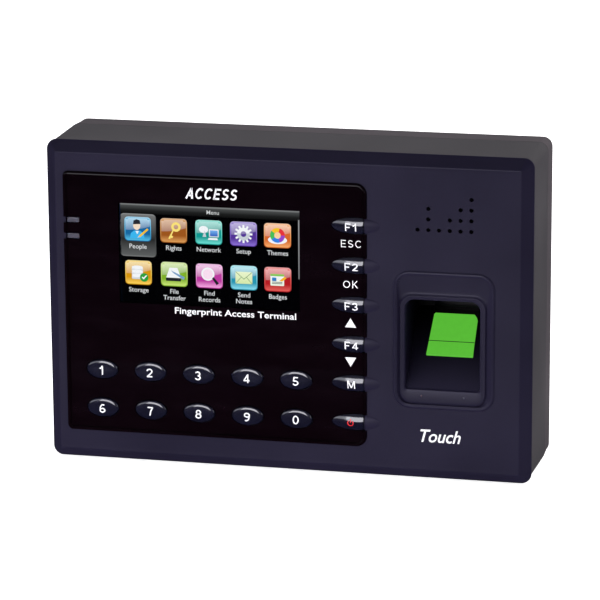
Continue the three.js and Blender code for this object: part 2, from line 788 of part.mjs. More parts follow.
function makeRearCover() {
  const wide = bodyWidth + 2 * partingFlare;
  const high = bodyHeight + 2 * partingFlare;
  const outer = loft([
    [partingY + seam, roundedRect(wide, high, cornerRadius)],
    [bodyDepth, roundedRect(wide - 2 * rearDraft, high - 2 * rearDraft, cornerRadius)],
  ]);
  const lipInset = wall + slip;
  const lip = slab(
    roundedRect(bodyWidth - 2 * lipInset, bodyHeight - 2 * lipInset, cornerRadius / 2),
    partingY - lipDepth,
    partingY + 1,
    3,
  );
  const innerInset = lipInset + lipWall;
  const hollow = slab(
    roundedRect(bodyWidth - 2 * innerInset, bodyHeight - 2 * innerInset, 1),
    partingY - lipDepth - 1,
    rearPanelY,
    3,
  );
  const recess = slab(
    roundedRect(plateWidth + 2 * slip, plateHeight + 2 * slip, plateRadius),
    recessFloorY,
    bodyDepth + 1,
    3,
  );
  let cover = cut(join(outer, lip), hollow, recess, ...portMouths());
  const cableMouth = box(
    [-cableWidth / 2, rearPanelY - 1, cableCentreZ - cableHeight / 2],
    [cableWidth / 2, bodyDepth, cableCentreZ + cableHeight / 2],
  );
  cover = cut(cover, cableMouth);
  const slotHeight = hookThickness + hookReach + 1.8;
  for (const x of [-hookX, hookX]) {
    for (const z of [-hookZ, hookZ]) {
      const slotTop = z + hookThickness / 2 + slip;
      const slot = box(
        [x - hookWidth / 2 - 0.6, rearPanelY - 1, slotTop - slotHeight],
        [x + hookWidth / 2 + 0.6, bodyDepth, slotTop],
      );
      cover = cut(cover, slot);
    }
  }
  for (const x of [-keyholeX, keyholeX]) {
    for (const z of [keyholeUpperZ, keyholeLowerZ]) {
      const headRoom = box(
        [x - keyholeRadius - 1, rearPanelY - 1, z - keyholeRadius - 1],
        [x + keyholeRadius + 1, bodyDepth, z + keyholeReach + keyholeSlot + 1],
      );
      cover = cut(cover, headRoom);
    }
  }
  const tabSlot = box(
    [-tabWidth / 2 - 0.6, rearPanelY - 1, lockTabZ - 1.2],
    [tabWidth / 2 + 0.6, recessFloorY + 1, lockTabZ + hookThickness + 1.2],
  );
  cover = cut(cover, tabSlot, bar(2.2, rearPanelY - 1, bodyDepth, tamperX, tamperZ, 12));
  for (const x of [-bossX, bossX]) {
    for (const z of [-bossZ, bossZ]) {
      cover = join(cover, bar(bossRadius, bossEndY + slip, rearPanelY + 1, x, z, 12));
      cover = cut(cover, bar(bossBore + 0.1, bossEndY - 1, bodyDepth + 1, x, z, screwSides));
      cover = cut(cover, bar(screwHeadRadius + 0.5, screwSeatY, bodyDepth + 1, x, z, 12));
    }
  }
  cover = join(cover, post(lockBossRadius, -halfHeight + 1, innerBottom + 5, 0, lockScrewY, 12));
  cover = cut(cover, post(bossBore + 0.1, -halfHeight - 3, innerBottom + 6, 0, lockScrewY, 10));
  cover = cut(cover, post(screwHeadRadius + 0.5, -halfHeight - 3, lockSeatZ, 0, lockScrewY, 12));
  piece("rear_cover", cover, greyPlastic);
}

function keyhole(x, z) {
  const y0 = bodyDepth - plateThickness - 1;
  const round = bar(keyholeRadius, y0, bodyDepth + 1, x, z, 12);
  const slot = box([x - keyholeSlot, y0, z], [x + keyholeSlot, bodyDepth + 1, z + keyholeReach]);
  return join(round, slot, bar(keyholeSlot, y0, bodyDepth + 1, x, z + keyholeReach, 8));
}

function makeWallPlate() {
  const y0 = bodyDepth - plateThickness;
  let plate = slab(roundedRect(plateWidth, plateHeight, plateRadius), y0, bodyDepth, 4);
  const mouth = roundedRect(cableWidth, cableHeight, 3, 0, cableCentreZ);
  plate = cut(plate, slab(mouth, y0 - 1, bodyDepth + 1, 3));
  const roundZ = (keyholeUpperZ + keyholeLowerZ) / 2 + 4;
  for (const x of [-keyholeX, keyholeX]) {
    const round = bar(keyholeSlot, y0 - 1, bodyDepth + 1, x, roundZ, 10);
    plate = cut(plate, keyhole(x, keyholeUpperZ), keyhole(x, keyholeLowerZ), round);
  }
  const tipY = rearPanelY - slip - 0.4;
  const hookY = tipY - hookThickness;
  for (const x of [-hookX, hookX]) {
    const x0 = x - hookWidth / 2;
    const x1 = x + hookWidth / 2;
    for (const z of [-hookZ, hookZ]) {
      const webTop = z + hookThickness / 2;
      const web = box([x0, hookY, z - hookThickness / 2], [x1, y0 + 0.5, webTop]);
      const tip = box([x0, hookY, z], [x1, tipY, webTop + hookReach]);
      plate = join(plate, web, tip);
    }
  }
  const tab = box(
    [-tabWidth / 2, y0 - tabDepth, lockTabZ],
    [tabWidth / 2, y0 + 0.5, lockTabZ + hookThickness],
  );
  const tabHole = post(bossBore, lockTabZ - 1, lockTabZ + hookThickness + 1, 0, lockScrewY, 12);
  piece("wall_plate", join(plate, cut(tab, tabHole)), plainSteel);
}

// A screw along the depth with its head to the back: seat is where the head bears.
function screwProfile(seat, length) {
  return [
    [0, seat - length],
    [screwRadius, seat - length + screwRadius],
    [screwRadius, seat],
    [screwHeadRadius, seat],
    [screwHeadRadius, seat + screwHeadHeight / 2],
    [screwHeadRadius * 0.7, seat + screwHeadHeight],
    [0, seat + screwHeadHeight],
  ];
}

function makeScrews() {
  let number = 1;
  for (const z of [bossZ, -bossZ]) {
    for (const x of [-bossX, bossX]) {
      const profile = screwProfile(screwSeatY + 0.1, screwLength);
      piece(`case_screw_${number}`, turned(profile, x, z, 1, screwSides), darkSteel);
      number += 1;
    }
  }
  const seatZ = lockSeatZ - 0.1;
  const lockLength = lockTabZ + hookThickness + 1 - seatZ;
  const points = screwProfile(0, lockLength).map(([r, y]) => new THREE.Vector2(r, y));
  const geometry = new THREE.LatheGeometry(points, screwSides).rotateX(-Math.PI / 2);
  piece("lock_screw", solid(geometry.translate(0, lockScrewY, seatZ)), darkSteel);
}

// ---------------------------------------------------------------- electronics

function makeMainBoard() {
  const bottom = innerBottom + 1.2;
  const top = halfHeight - wall - 6;
  const board = box([mainBoardLeft, mainBoardDepth, bottom], [mainBoardRight, mainBoardBack, top]);
  const chip = (x, z, width, height, rise) =>
    box(
      [mainBoardLeft + x, mainBoardBack - 0.2, bottom + z],
      [mainBoardLeft + x + width, mainBoardBack + rise, bottom + z + height],
    );
  const chips = [
    chip(62, 18, 14, 14, 1.4),
    chip(84, 18, 11, 12, 1.2),
    chip(24, 30, 9, 8, 1.2),
    chip(92, 52, 9, 7, 2.6),
  ];
  const capacitors = [38, 46].map((x) =>
    bar(3, mainBoardBack - 0.2, mainBoardBack + 8, mainBoardLeft + x, bottom + 34, 12),
  );
  piece("main_board", join(board, ...chips, ...capacitors), circuitBoard);
  piece("clock_battery", bar(8, portY, portY + 3.2, mainBoardLeft + 12, bottom + 24, 20), plainSteel);
  const battery = roundedRect(62, 34, 4, mainBoardLeft + 36, top - 22);
  piece("backup_battery", slab(battery, portY + 2, portY + 12, 3), batteryWrap);
}

function makePorts() {
  const mouthZ = -halfHeight + 0.4;
  const { jack, usb, power } = ports;
  const shell = ({ x, width, height }, length) =>
    box([x - width / 2, portY, mouthZ], [x + width / 2, portY + height, mouthZ + length]);
  const jackMouth = box([jack.x - 5.9, portY + 1, mouthZ - 1], [jack.x + 5.9, portY + 9, mouthZ + 15]);
  const latchMouth = box([jack.x - 3.2, portY + 8, mouthZ - 1], [jack.x + 3.2, portY + 12, mouthZ + 15]);
  piece("network_jack", cut(shell(jack, jackLength), jackMouth, latchMouth), blackPlastic);
  const usbMouth = box(
    [usb.x - usbWidth / 2 + 0.4, portY + 0.4, mouthZ - 1],
    [usb.x + usbWidth / 2 - 0.4, portY + usbHeight - 0.4, mouthZ + 10],
  );
  piece("usb_socket", cut(shell(usb, usbLength), usbMouth), plainSteel);
  const bore = post(3.15, mouthZ - 1, mouthZ + 9.5, power.x, portY + 6, 16);
  const pin = post(1, mouthZ + 1.5, mouthZ + 10, power.x, portY + 6, 10);
  piece("power_jack", join(cut(shell(power, powerLength), bore), pin), blackPlastic);
}

function makeTerminalBlock() {
  const ways = 6;
  const pitch = 5;
  const depth = 10;
  const height = 9;
  const zLow = cableCentreZ - height / 2 - 4;
  const left = (-ways * pitch) / 2;
  let block = box([left, portY, zLow], [left + ways * pitch, portY + depth, zLow + height]);
  for (let way = 0; way < ways; way += 1) {
    const x = left + (way + 0.5) * pitch;
    const entry = box([x - 1.6, portY + 3.4, zLow - 1], [x + 1.6, portY + 6.6, zLow + 5]);
    block = cut(block, entry, bar(1.8, portY + depth - 1.6, portY + depth + 1, x, zLow + height / 2, 8));
  }
  piece("terminal_block", block, greenPlastic);
}

function makeTamper() {
  const bodyTop = portY + 5.5;
  const half = 4;
  const body = box([tamperX - half, portY, tamperZ - half], [tamperX + half, bodyTop, tamperZ + half]);
  piece("tamper_switch", body, blackPlastic);
  const reachTo = bodyDepth - plateThickness - slip;
  const profile = [
    [0, bodyTop + 2.4],
    [2.8, bodyTop + 2.4],
    [2.8, bodyTop + 4],
    [1.7, bodyTop + 4],
    [1.7, reachTo - 0.6],
    [1.1, reachTo],
    [0, reachTo],
  ];
  piece("tamper_plunger", turned(profile, tamperX, tamperZ, 1, 12), greenPlastic);
}

// A flat cable between a front board and the main board, drawn in the side view.
function makeRibbon(name, x, width, startY, startZ, endZ) {
  const endY = mainBoardDepth - slip;
  const middleZ = (startZ + endZ) / 2;
  const outline = [
    [startY, startZ],
    [startY, middleZ - ribbonThickness],
    [endY - ribbonThickness, middleZ - ribbonThickness],
    [endY - ribbonThickness, endZ],
    [endY, endZ],
    [endY, middleZ],
    [startY + ribbonThickness, middleZ],
    [startY + ribbonThickness, startZ],
  ];
  piece(name, sideSlab(outline, x - width / 2, x + width / 2), goldFlex);
}

function makeRibbons() {
  const bracketBack = displayY + displayThickness + slip + bracketThickness;
  const displayX = (display.x0 + display.x1) / 2;
  makeRibbon("display_ribbon", displayX, 16, bracketBack + slip, display.z0 + 6, display.z0 - 4);
  makeRibbon("keypad_ribbon", keyX(1), 10, keyBoardY + boardThickness + slip, keyZ(0) + 6, keyZ(0) - 4);
}

// ---------------------------------------------------------------- the whole terminal

makeFrontCover();
makeLens();
makeLightPipes();
makeKeys();
makeKeypad();
makeDisplay();
makeReader();
makeSpeaker();
makeHousing();
makeRearCover();
makeWallPlate();
makeScrews();
makeMainBoard();
makePorts();
makeTerminalBlock();
makeTamper();
makeRibbons();

export default terminal;
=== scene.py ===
import contextlib
import math

import bmesh
import bpy
from mathutils import Matrix, Vector


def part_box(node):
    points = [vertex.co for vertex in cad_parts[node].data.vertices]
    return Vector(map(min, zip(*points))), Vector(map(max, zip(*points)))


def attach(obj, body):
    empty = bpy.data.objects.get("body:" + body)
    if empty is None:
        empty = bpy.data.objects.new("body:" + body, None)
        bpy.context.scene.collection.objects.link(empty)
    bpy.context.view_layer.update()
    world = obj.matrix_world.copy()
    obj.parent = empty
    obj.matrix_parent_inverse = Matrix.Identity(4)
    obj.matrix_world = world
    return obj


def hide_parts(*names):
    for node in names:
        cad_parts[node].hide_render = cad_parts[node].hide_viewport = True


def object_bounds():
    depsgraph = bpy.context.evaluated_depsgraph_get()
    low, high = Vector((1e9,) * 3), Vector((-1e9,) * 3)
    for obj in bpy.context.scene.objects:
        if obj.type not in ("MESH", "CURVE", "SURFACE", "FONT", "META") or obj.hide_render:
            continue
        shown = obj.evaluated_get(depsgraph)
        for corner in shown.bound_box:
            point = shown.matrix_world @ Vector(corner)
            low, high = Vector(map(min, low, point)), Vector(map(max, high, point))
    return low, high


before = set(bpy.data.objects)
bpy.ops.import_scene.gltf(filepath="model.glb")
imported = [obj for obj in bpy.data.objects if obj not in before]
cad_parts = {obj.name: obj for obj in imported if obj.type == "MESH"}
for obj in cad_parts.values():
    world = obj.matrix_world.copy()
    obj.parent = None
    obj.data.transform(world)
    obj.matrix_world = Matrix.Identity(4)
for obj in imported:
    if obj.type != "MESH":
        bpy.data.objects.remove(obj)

bl_info = {
    "name": "Fingerprint Scanner Terminal",
    "version": (1, 0, 0),
    "blender": (4, 5, 0),
    "location": "View3D > Sidebar > Terminal",
    "description": "Builds the looks of a wall-mounted fingerprint scanner terminal on its frame",
    "category": "Object",
}

# ---------------------------------------------------------------- places from the frame

MM = 0.001
CAD_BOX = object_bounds()
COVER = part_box("front_cover")
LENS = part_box("lens_panel")
ORIGIN = Vector((0.0, LENS[0].y, (COVER[0].z + COVER[1].z) / 2))  # middle of the flat front face
TO_WORLD = Matrix.Translation(ORIGIN) @ Matrix.Scale(MM, 4)
NUMBER_KEYS = ["key_%d" % digit for digit in range(10)]
FUNCTION_KEYS = ["key_f1", "key_f2", "key_f3", "key_f4", "key_menu", "key_power"]


def box_mm(node):
    """A node's lowest and highest corner in millimetres from the middle of the front face."""
    low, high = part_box(node)
    return (low - ORIGIN) / MM, (high - ORIGIN) / MM


def linear(red, green, blue):
    """A colour given in 0 to 255 steps, as the shaders read it."""
    def channel(value):
        share = value / 255
        return share / 12.92 if share <= 0.04045 else ((share + 0.055) / 1.055) ** 2.4
    return channel(red), channel(green), channel(blue)


# ---------------------------------------------------------------- settings


def length(name, description, millimetres):
    return bpy.props.FloatProperty(
        name=name, description=description, default=millimetres * MM, unit="LENGTH")


class TerminalSizes(bpy.types.PropertyGroup):
    """Sizes of the visible pieces."""

    bevel_width: length("Bevel Width", "Bevel round the front, seen from the front", 3.4)
    bevel_depth: length("Bevel Depth", "How deep the bevel goes", 4.1)
    corner_radius: length("Corner Radius", "Outer corners of the case", 3.3)
    edge_radius: length("Edge Radius", "Rounding along the bevel's inner edge", 0.9)
    soft_edge: length("Soft Edge", "Rounding of small moulded edges", 0.16)
    seam: length("Seam", "Gap between two visible pieces", 0.15)
    key_run: length("Key Gap", "Gap round a key in its hole", 0.25)
    key_flange: length("Key Foot", "How far a key's foot is wider than its hole", 0.8)
    number_rise: length("Number Key Rise", "Height of a number key's dome", 0.9)
    function_rise: length("Function Key Rise", "Height of a function key's dome", 1.2)
    digit_height: length("Digit Height", "Height of the printed digits", 3.3)
    hole_radius: length("Speaker Hole Radius", "Radius of one speaker hole", 0.75)
    hole_pitch: length("Speaker Hole Pitch", "Distance between speaker holes", 3.82)
    well_width: length("Well Width", "Width of the finger well", 27.2)
    well_height: length("Well Height", "Height of the finger well", 34.8)
    screen_glow: bpy.props.FloatProperty(
        name="Screen Glow", description="Brightness of the display", default=1.0, min=0.0)


def colour(name, description, red, green, blue):
    return bpy.props.FloatVectorProperty(
        name=name, description=description, subtype="COLOR", size=3, min=0.0, max=1.0,
        default=linear(red, green, blue))


class TerminalColours(bpy.types.PropertyGroup):
    """Colours of the finishes."""

    navy: colour("Navy Plastic", "Front cover and reader surround", 31, 28, 46)
    grey: colour("Grey Plastic", "Housing", 66, 64, 66)
    rear: colour("Rear Grey", "Rear cover", 74, 69, 72)
    lens: colour("Lens Black", "Printed black behind the gloss lens", 7, 2, 5)
    key: colour("Key Black", "Moulded keys", 12, 12, 28)
    legend: colour("Legend White", "Printed legends", 238, 238, 240)
    power: colour("Power Red", "Power symbol", 200, 22, 28)
    pipe: colour("Light Pipe", "Frosted light pipes", 56, 54, 68)
    scan: colour("Scanner Green", "Lit scanning window", 88, 184, 55)
    board: colour("Board Green", "Circuit boards", 24, 84, 48)
    steel: colour("Steel", "Wall plate and brackets", 176, 180, 184)


def size_mm(name):
    """One of the sizes, in millimetres."""
    return getattr(bpy.context.scene.terminal_sizes, name) / MM


def colours():
    return bpy.context.scene.terminal_colours


# ---------------------------------------------------------------- meshes, in millimetres

WELD = 1e-5  # points nearer than this are one
LEAST_CUT = 1e-4  # a cut or a join changes the volume by more than this, in cubic millimetres
FLAT = math.radians(0.3)  # faces nearer to flat than this are joined


def rounded_outline(x0, x1, z0, z1, radii, steps=10):
    """Points round a rectangle; radii are bottom left, bottom right, top right, top left."""
    if not isinstance(radii, (tuple, list)):
        radii = (radii,) * 4
    bottom_left, bottom_right, top_right, top_left = radii
    corners = (
        (x1 - bottom_right, z0 + bottom_right, bottom_right, -90),
        (x1 - top_right, z1 - top_right, top_right, 0),
        (x0 + top_left, z1 - top_left, top_left, 90),
        (x0 + bottom_left, z0 + bottom_left, bottom_left, 180),
    )
    points = []
    for x, z, radius, start in corners:
        for step in range(steps + 1):
            angle = math.radians(start + 90 * step / steps)
            points.append((x + radius * math.cos(angle), z + radius * math.sin(angle)))
    return points


def ellipse_outline(x, z, half_width, half_height, steps=64):
    turns = [math.tau * step / steps for step in range(steps)]
    return [(x + half_width * math.cos(t), z + half_height * math.sin(t)) for t in turns]


def fillet(points, radii, steps=5):
    """A polyline with its inner corners rounded."""
    made = [Vector(points[0])]
    for before, corner, after, radius in zip(points, points[1:], points[2:], radii):
        corner = Vector(corner)
        back = (Vector(before) - corner).normalized()
        on = (Vector(after) - corner).normalized()
        half = back.angle(on) / 2
        reach = radius / math.tan(half)
        middle = corner + (back + on).normalized() * (radius / math.sin(half))
        start = corner + back * reach - middle
        end = corner + on * reach - middle
        for step in range(steps + 1):
            made.append(middle + start.slerp(end, step / steps))
    made.append(Vector(points[-1]))
    return made


def mesh_object(bm, name="part"):
    mesh = bpy.data.meshes.new(name)
    bm.to_mesh(mesh)
    bm.free()
    obj = bpy.data.objects.new(name, mesh)
    bpy.context.scene.collection.objects.link(obj)
    return obj


def skin(loops, name="part"):
    """A closed solid over loops of points: walls between neighbours, and a face at each end."""
    bm = bmesh.new()
    loops = [[bm.verts.new(point) for point in loop] for loop in loops]
    for first, second in zip(loops, loops[1:]):
        for i in range(len(first)):
            j = (i + 1) % len(first)
            bm.faces.new((first[i], first[j], second[j], second[i]))
    bm.faces.new(loops[0][::-1])
    bm.faces.new(loops[-1])
    bmesh.ops.remove_doubles(bm, verts=bm.verts, dist=WELD)
    bmesh.ops.recalc_face_normals(bm, faces=bm.faces)
    return mesh_object(bm, name)


def loft(rings, name="part"):
    """A solid through outlines of equal point count: each ring is (outline, depth)."""
    return skin([[(x, y, z) for x, z in outline] for outline, y in rings], name)


def straight(outline, y0, y1, name="part"):
    """An outline carried from one depth to another."""
    return loft([(outline, y0), (outline, y1)], name)


def box_solid(x0, x1, y0, y1, z0, z1, radius=0.0, steps=4):
    """An upright block, with its four long edges rounded where a radius is given."""
    if radius:
        outline = rounded_outline(x0, x1, z0, z1, radius, steps)
    else:
        outline = [(x0, z0), (x1, z0), (x1, z1), (x0, z1)]
    return straight(outline, y0, y1)


def bar_solid(radius, y0, y1, x, z):
    """A round bar along the depth."""
    return straight(ellipse_outline(x, z, radius, radius, 32), y0, y1)


def side_solid(points, x0, x1):
    """A side view, drawn in depth and height, carried across from x0 to x1."""
    return skin([[(x, y, z) for y, z in points] for x in (x0, x1)])


def settle(obj):
    """Turns an object's modifiers into plain mesh."""
    graph = bpy.context.evaluated_depsgraph_get()
    mesh = bpy.data.meshes.new_from_object(obj.evaluated_get(graph))
    obj.modifiers.clear()
    old = obj.data
    obj.data = mesh
    bpy.data.meshes.remove(old)
    return obj


@contextlib.contextmanager
def edited(obj):
    """An object's mesh opened for editing, and written back afterwards."""
    bm = bmesh.new()
    bm.from_mesh(obj.data)
    yield bm
    bm.to_mesh(obj.data)
    bm.free()


def volume(obj):
    bm = bmesh.new()
    bm.from_mesh(obj.data)
    amount = bm.calc_volume()
    bm.free()
    return amount


def combine(target, other, operation="DIFFERENCE"):
    """Cuts another solid from target, or joins it on, and drops the other."""
    before = volume(target)
    modifier = target.modifiers.new("combine", "BOOLEAN")
    modifier.operation = operation
    modifier.solver = "MANIFOLD"
    modifier.object = other
    settle(target)
    bpy.data.objects.remove(other)
    if not target.data.vertices or abs(volume(target) - before) < LEAST_CUT:
        raise RuntimeError("a cut or a join left %s as it was" % target.name)
    return target


def soften(obj, width, segments=2, angle=50):
    """Joins faces that lie flat together, and rounds every edge sharper than an angle."""
    with edited(obj) as bm:
        bmesh.ops.dissolve_limit(bm, angle_limit=FLAT, verts=bm.verts, edges=bm.edges)
    modifier = obj.modifiers.new("soften", "BEVEL")
    modifier.width = width
    modifier.segments = segments
    modifier.limit_method = "ANGLE"
    modifier.angle_limit = math.radians(angle)
    modifier.miter_outer = "MITER_ARC"
    return settle(obj)


def slice_mesh(bm, point, normal):
    """Cuts a mesh's faces along a plane, and takes nothing away."""
    whole = bm.verts[:] + bm.edges[:] + bm.faces[:]
    bmesh.ops.bisect_plane(bm, geom=whole, plane_co=point, plane_no=normal, dist=WELD)


def split(obj):
    """Cuts many-sided faces into triangles, so that each is drawn flat."""
    with edited(obj) as bm:
        many = [face for face in bm.faces if len(face.verts) > 4]
        bmesh.ops.triangulate(bm, faces=many, ngon_method="EAR_CLIP")
    return obj


def merge(target, *others):
    """Puts other meshes into target, each with its own materials after target's."""
    bm = bmesh.new()
    materials = []
    for obj in (target, *others):
        start = len(bm.faces)
        bm.from_mesh(obj.data)
        bm.faces.ensure_lookup_table()
        for face in bm.faces[start:]:
            face.material_index += len(materials)
        materials += list(obj.data.materials)
    mesh = bpy.data.meshes.new(target.name)
    bm.to_mesh(mesh)
    bm.free()
    for material in materials:
        mesh.materials.append(material)
    target.data = mesh
    for obj in others:
        bpy.data.objects.remove(obj)
    return target


def coat(obj, *materials):
    """Gives a mesh its finishes; faces keep their material numbers."""
    for number, material in enumerate(materials):
        if number < len(obj.data.materials):
            obj.data.materials[number] = material
        else:
            obj.data.materials.append(material)
    return obj


def place(obj, name, body, nodes=(), sharp=35, weighted=True):
    """Finishes a piece: into the frame's metres, shaded, and riding on its body."""
    obj.name = name
    obj.data.name = name
    obj.data.transform(TO_WORLD)
    obj.data.shade_smooth()
    obj.data.set_sharp_from_angle(angle=math.radians(sharp))
    if weighted:
        modifier = obj.modifiers.new("weighted", "WEIGHTED_NORMAL")
        modifier.keep_sharp = True
        settle(obj)
        obj.data.name = name
    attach(obj, body)
    if nodes:
        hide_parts(*nodes)
    return obj


def arc(x, z, half_width, half_height, start, end, steps=18):
    """Points along part of an ellipse, between two angles in degrees."""
    angles = [math.radians(start + (end - start) * step / steps) for step in range(steps + 1)]
    return [(x + half_width * math.cos(a), z + half_height * math.sin(a)) for a in angles]


# Strokes of plain lettering, on a cap height of 1, and the room that each letter takes.
LETTERS = {
    "0": (0.62, [arc(0.31, 0.5, 0.23, 0.42, 0, 360)]),
    "1": (0.50, [[(0.06, 0.68), (0.2, 0.77), (0.32, 0.97)], [(0.32, 0.0), (0.32, 1.0)]]),
    "2": (0.62, [arc(0.3, 0.68, 0.22, 0.24, 172, -32) + [(0.12, 0.1)],
                 [(0.06, 0.08), (0.57, 0.08)]]),
    "3": (0.62, [arc(0.29, 0.71, 0.2, 0.21, 160, -88), arc(0.29, 0.28, 0.23, 0.21, 88, -160)]),
    "4": (0.64, [[(0.44, 0.0), (0.44, 0.98)], [(0.42, 0.92), (0.09, 0.27)],
                 [(0.04, 0.26), (0.61, 0.26)]]),
    "5": (0.62, [[(0.54, 0.92), (0.17, 0.92)], [(0.2, 0.97), (0.13, 0.48)],
                 arc(0.3, 0.31, 0.23, 0.23, 132, -158)]),
    "6": (0.62, [arc(0.31, 0.29, 0.22, 0.21, 0, 360), arc(0.36, 0.36, 0.27, 0.56, 62, 180)]),
    "7": (0.58, [[(0.05, 0.92), (0.54, 0.92)], [(0.52, 0.92), (0.33, 0.5), (0.25, 0.0)]]),
    "8": (0.62, [arc(0.31, 0.72, 0.19, 0.2, 0, 360), arc(0.31, 0.28, 0.23, 0.21, 0, 360)]),
    "9": (0.62, [arc(0.31, 0.71, 0.22, 0.21, 0, 360), arc(0.26, 0.64, 0.27, 0.56, 0, -118)]),
    "A": (0.72, [[(0.07, 0.0), (0.36, 0.97)], [(0.36, 0.97), (0.65, 0.0)],
                 [(0.17, 0.3), (0.55, 0.3)]]),
    "C": (0.74, [arc(0.4, 0.5, 0.31, 0.42, 42, 318)]),
    "E": (0.66, [[(0.12, 0.0), (0.12, 1.0)], [(0.12, 0.92), (0.62, 0.92)],
                 [(0.12, 0.51), (0.57, 0.51)], [(0.12, 0.08), (0.63, 0.08)]]),
    "F": (0.62, [[(0.12, 0.0), (0.12, 1.0)], [(0.12, 0.92), (0.6, 0.92)],
                 [(0.12, 0.5), (0.52, 0.5)]]),
    "K": (0.7, [[(0.12, 0.0), (0.12, 1.0)], [(0.6, 0.97), (0.15, 0.4)],
                [(0.28, 0.56), (0.64, 0.03)]]),
    "M": (0.84, [[(0.1, 0.0), (0.1, 1.0)], [(0.14, 0.95), (0.42, 0.1)],
                 [(0.42, 0.1), (0.7, 0.95)], [(0.74, 0.0), (0.74, 1.0)]]),
    "O": (0.82, [arc(0.41, 0.5, 0.34, 0.42, 0, 360)]),
    "S": (0.66, [arc(0.33, 0.71, 0.22, 0.21, 28, 270, 14)
                 + arc(0.33, 0.28, 0.24, 0.2, 88, -152, 14)]),
}
SPACING = 0.14  # between two letters, as a share of their cap height
CAP_SHARE = 0.7  # cap height of the small lettering, as a share of its body
PRINT_DEPTH = 0.02  # how far printing stands out of a face, and reaches into it
PRINT_CELL = 0.35  # longest straight step of a printed line that follows a domed face


def stroke_bars(bm, points, half, surface=None):
    """A bar of even width along a line, printed on a face whose depth is given."""
    line = [Vector(points[0])]
    for start, end in zip(points, points[1:]):
        start, end = Vector(start), Vector(end)
        count = max(1, math.ceil((end - start).length / PRINT_CELL))
        line += [start.lerp(end, step / count) for step in range(1, count + 1)]
    closed = (line[0] - line[-1]).length < 1e-6
    if closed:
        line.pop()
    last = len(line) - 1
    loops = []
    for i, point in enumerate(line):
        before = line[i - 1] if i or closed else point
        after = line[(i + 1) % len(line)] if i < last or closed else point
        along = (after - before).normalized()
        across = Vector((-along.y, along.x)) * half
        loop = []
        for side, lift in ((1, -1), (-1, -1), (-1, 1), (1, 1)):
            place_at = point + across * side
            face = surface(place_at.x, place_at.y) if surface else 0.0
            loop.append(bm.verts.new((place_at.x, face + lift * PRINT_DEPTH, place_at.y)))
        loops.append(loop)
    for a, b in zip(loops, loops[1:] + loops[:1] if closed else loops[1:]):
        for i in range(4):
            j = (i + 1) % 4
            bm.faces.new((a[i], a[j], b[j], b[i]))
    if not closed:
        bm.faces.new(loops[0])
        bm.faces.new(loops[-1][::-1])


def lettering(words, x, z, cap, stroke=0.14, shear=0.0, surface=None, wide=1.2):
    """Plain bold lettering of one cap height, centred on x and z."""
    width = sum(LETTERS[letter][0] + SPACING for letter in words) - SPACING
    bm = bmesh.new()
    pen = -width / 2
    for letter in words:
        room, strokes = LETTERS[letter]
        for points in strokes:
            line = [(x + cap * (wide * (pen + px) + shear * (pz - 0.5)), z + cap * (pz - 0.5))
                    for px, pz in points]
            stroke_bars(bm, line, cap * stroke / 2, surface)
        pen += room + SPACING
    bmesh.ops.recalc_face_normals(bm, faces=bm.faces)
    return mesh_object(bm, "legend")


def text_solid(words, x, z, height, width=None, shear=0.0, bold=0.012):
    """Raised small lettering of one cap height; width stretches it."""
    curve = bpy.data.curves.new("legend", "FONT")
    curve.body = words
    curve.shear = shear
    curve.offset = bold
    curve.extrude = 0.1
    curve.resolution_u = 3
    letters = bpy.data.objects.new("legend", curve)
    bpy.context.scene.collection.objects.link(letters)
    graph = bpy.context.evaluated_depsgraph_get()
    mesh = bpy.data.meshes.new_from_object(letters.evaluated_get(graph))
    bpy.data.objects.remove(letters)
    bm = bmesh.new()
    bm.from_mesh(mesh)
    bpy.data.meshes.remove(mesh)
    bmesh.ops.remove_doubles(bm, verts=bm.verts, dist=1e-4)
    left = min(v.co.x for v in bm.verts)
    right = max(v.co.x for v in bm.verts)
    tall = height / CAP_SHARE
    wide = width / (right - left) if width else tall
    for v in bm.verts:
        depth = -PRINT_DEPTH if v.co.z > 0 else PRINT_DEPTH
        v.co = (x + (v.co.x - (left + right) / 2) * wide, depth,
                z + v.co.y * tall - height / 2)
    bmesh.ops.recalc_face_normals(bm, faces=bm.faces)
    return mesh_object(bm, "legend")


# ---------------------------------------------------------------- repeats, by geometry nodes


def node_tree(name, inputs):
    """An empty geometry node tree with a geometry input, named number inputs and one output."""
    tree = bpy.data.node_groups.new(name, "GeometryNodeTree")
    tree.interface.new_socket("Geometry", in_out="INPUT", socket_type="NodeSocketGeometry")
    for label, value in inputs:
        socket = tree.interface.new_socket(label, in_out="INPUT", socket_type="NodeSocketFloat")
        socket.default_value = value
    tree.interface.new_socket("Geometry", in_out="OUTPUT", socket_type="NodeSocketGeometry")
    start = tree.nodes.new("NodeGroupInput")
    end = tree.nodes.new("NodeGroupOutput")
    return tree, start, end


def add_node(tree, kind, links=(), **settings):
    """One node, with its settings and the outputs that feed its inputs."""
    made = tree.nodes.new(kind)
    for key, value in settings.items():
        setattr(made, key, value)
    for key, source in dict(links).items():
        if isinstance(source, bpy.types.NodeSocket):
            tree.links.new(source, made.inputs[key])
        else:
            made.inputs[key].default_value = source
    return made


def scatter(name, tree, spots, values):
    """Runs a tree over points, and gives back the plain mesh that it makes."""
    bm = bmesh.new()
    for spot in spots:
        bm.verts.new(spot)
    obj = mesh_object(bm, name)
    modifier = obj.modifiers.new(name, "NODES")
    modifier.node_group = tree
    for item in tree.interface.items_tree:
        if item.in_out == "INPUT" and item.name in values:
            modifier[item.identifier] = values[item.name]
    return settle(obj)


def node_maths(tree, operation, *values):
    """The result of a Math node on numbers or outputs."""
    return add_node(tree, "ShaderNodeMath", enumerate(values), operation=operation).outputs[0]


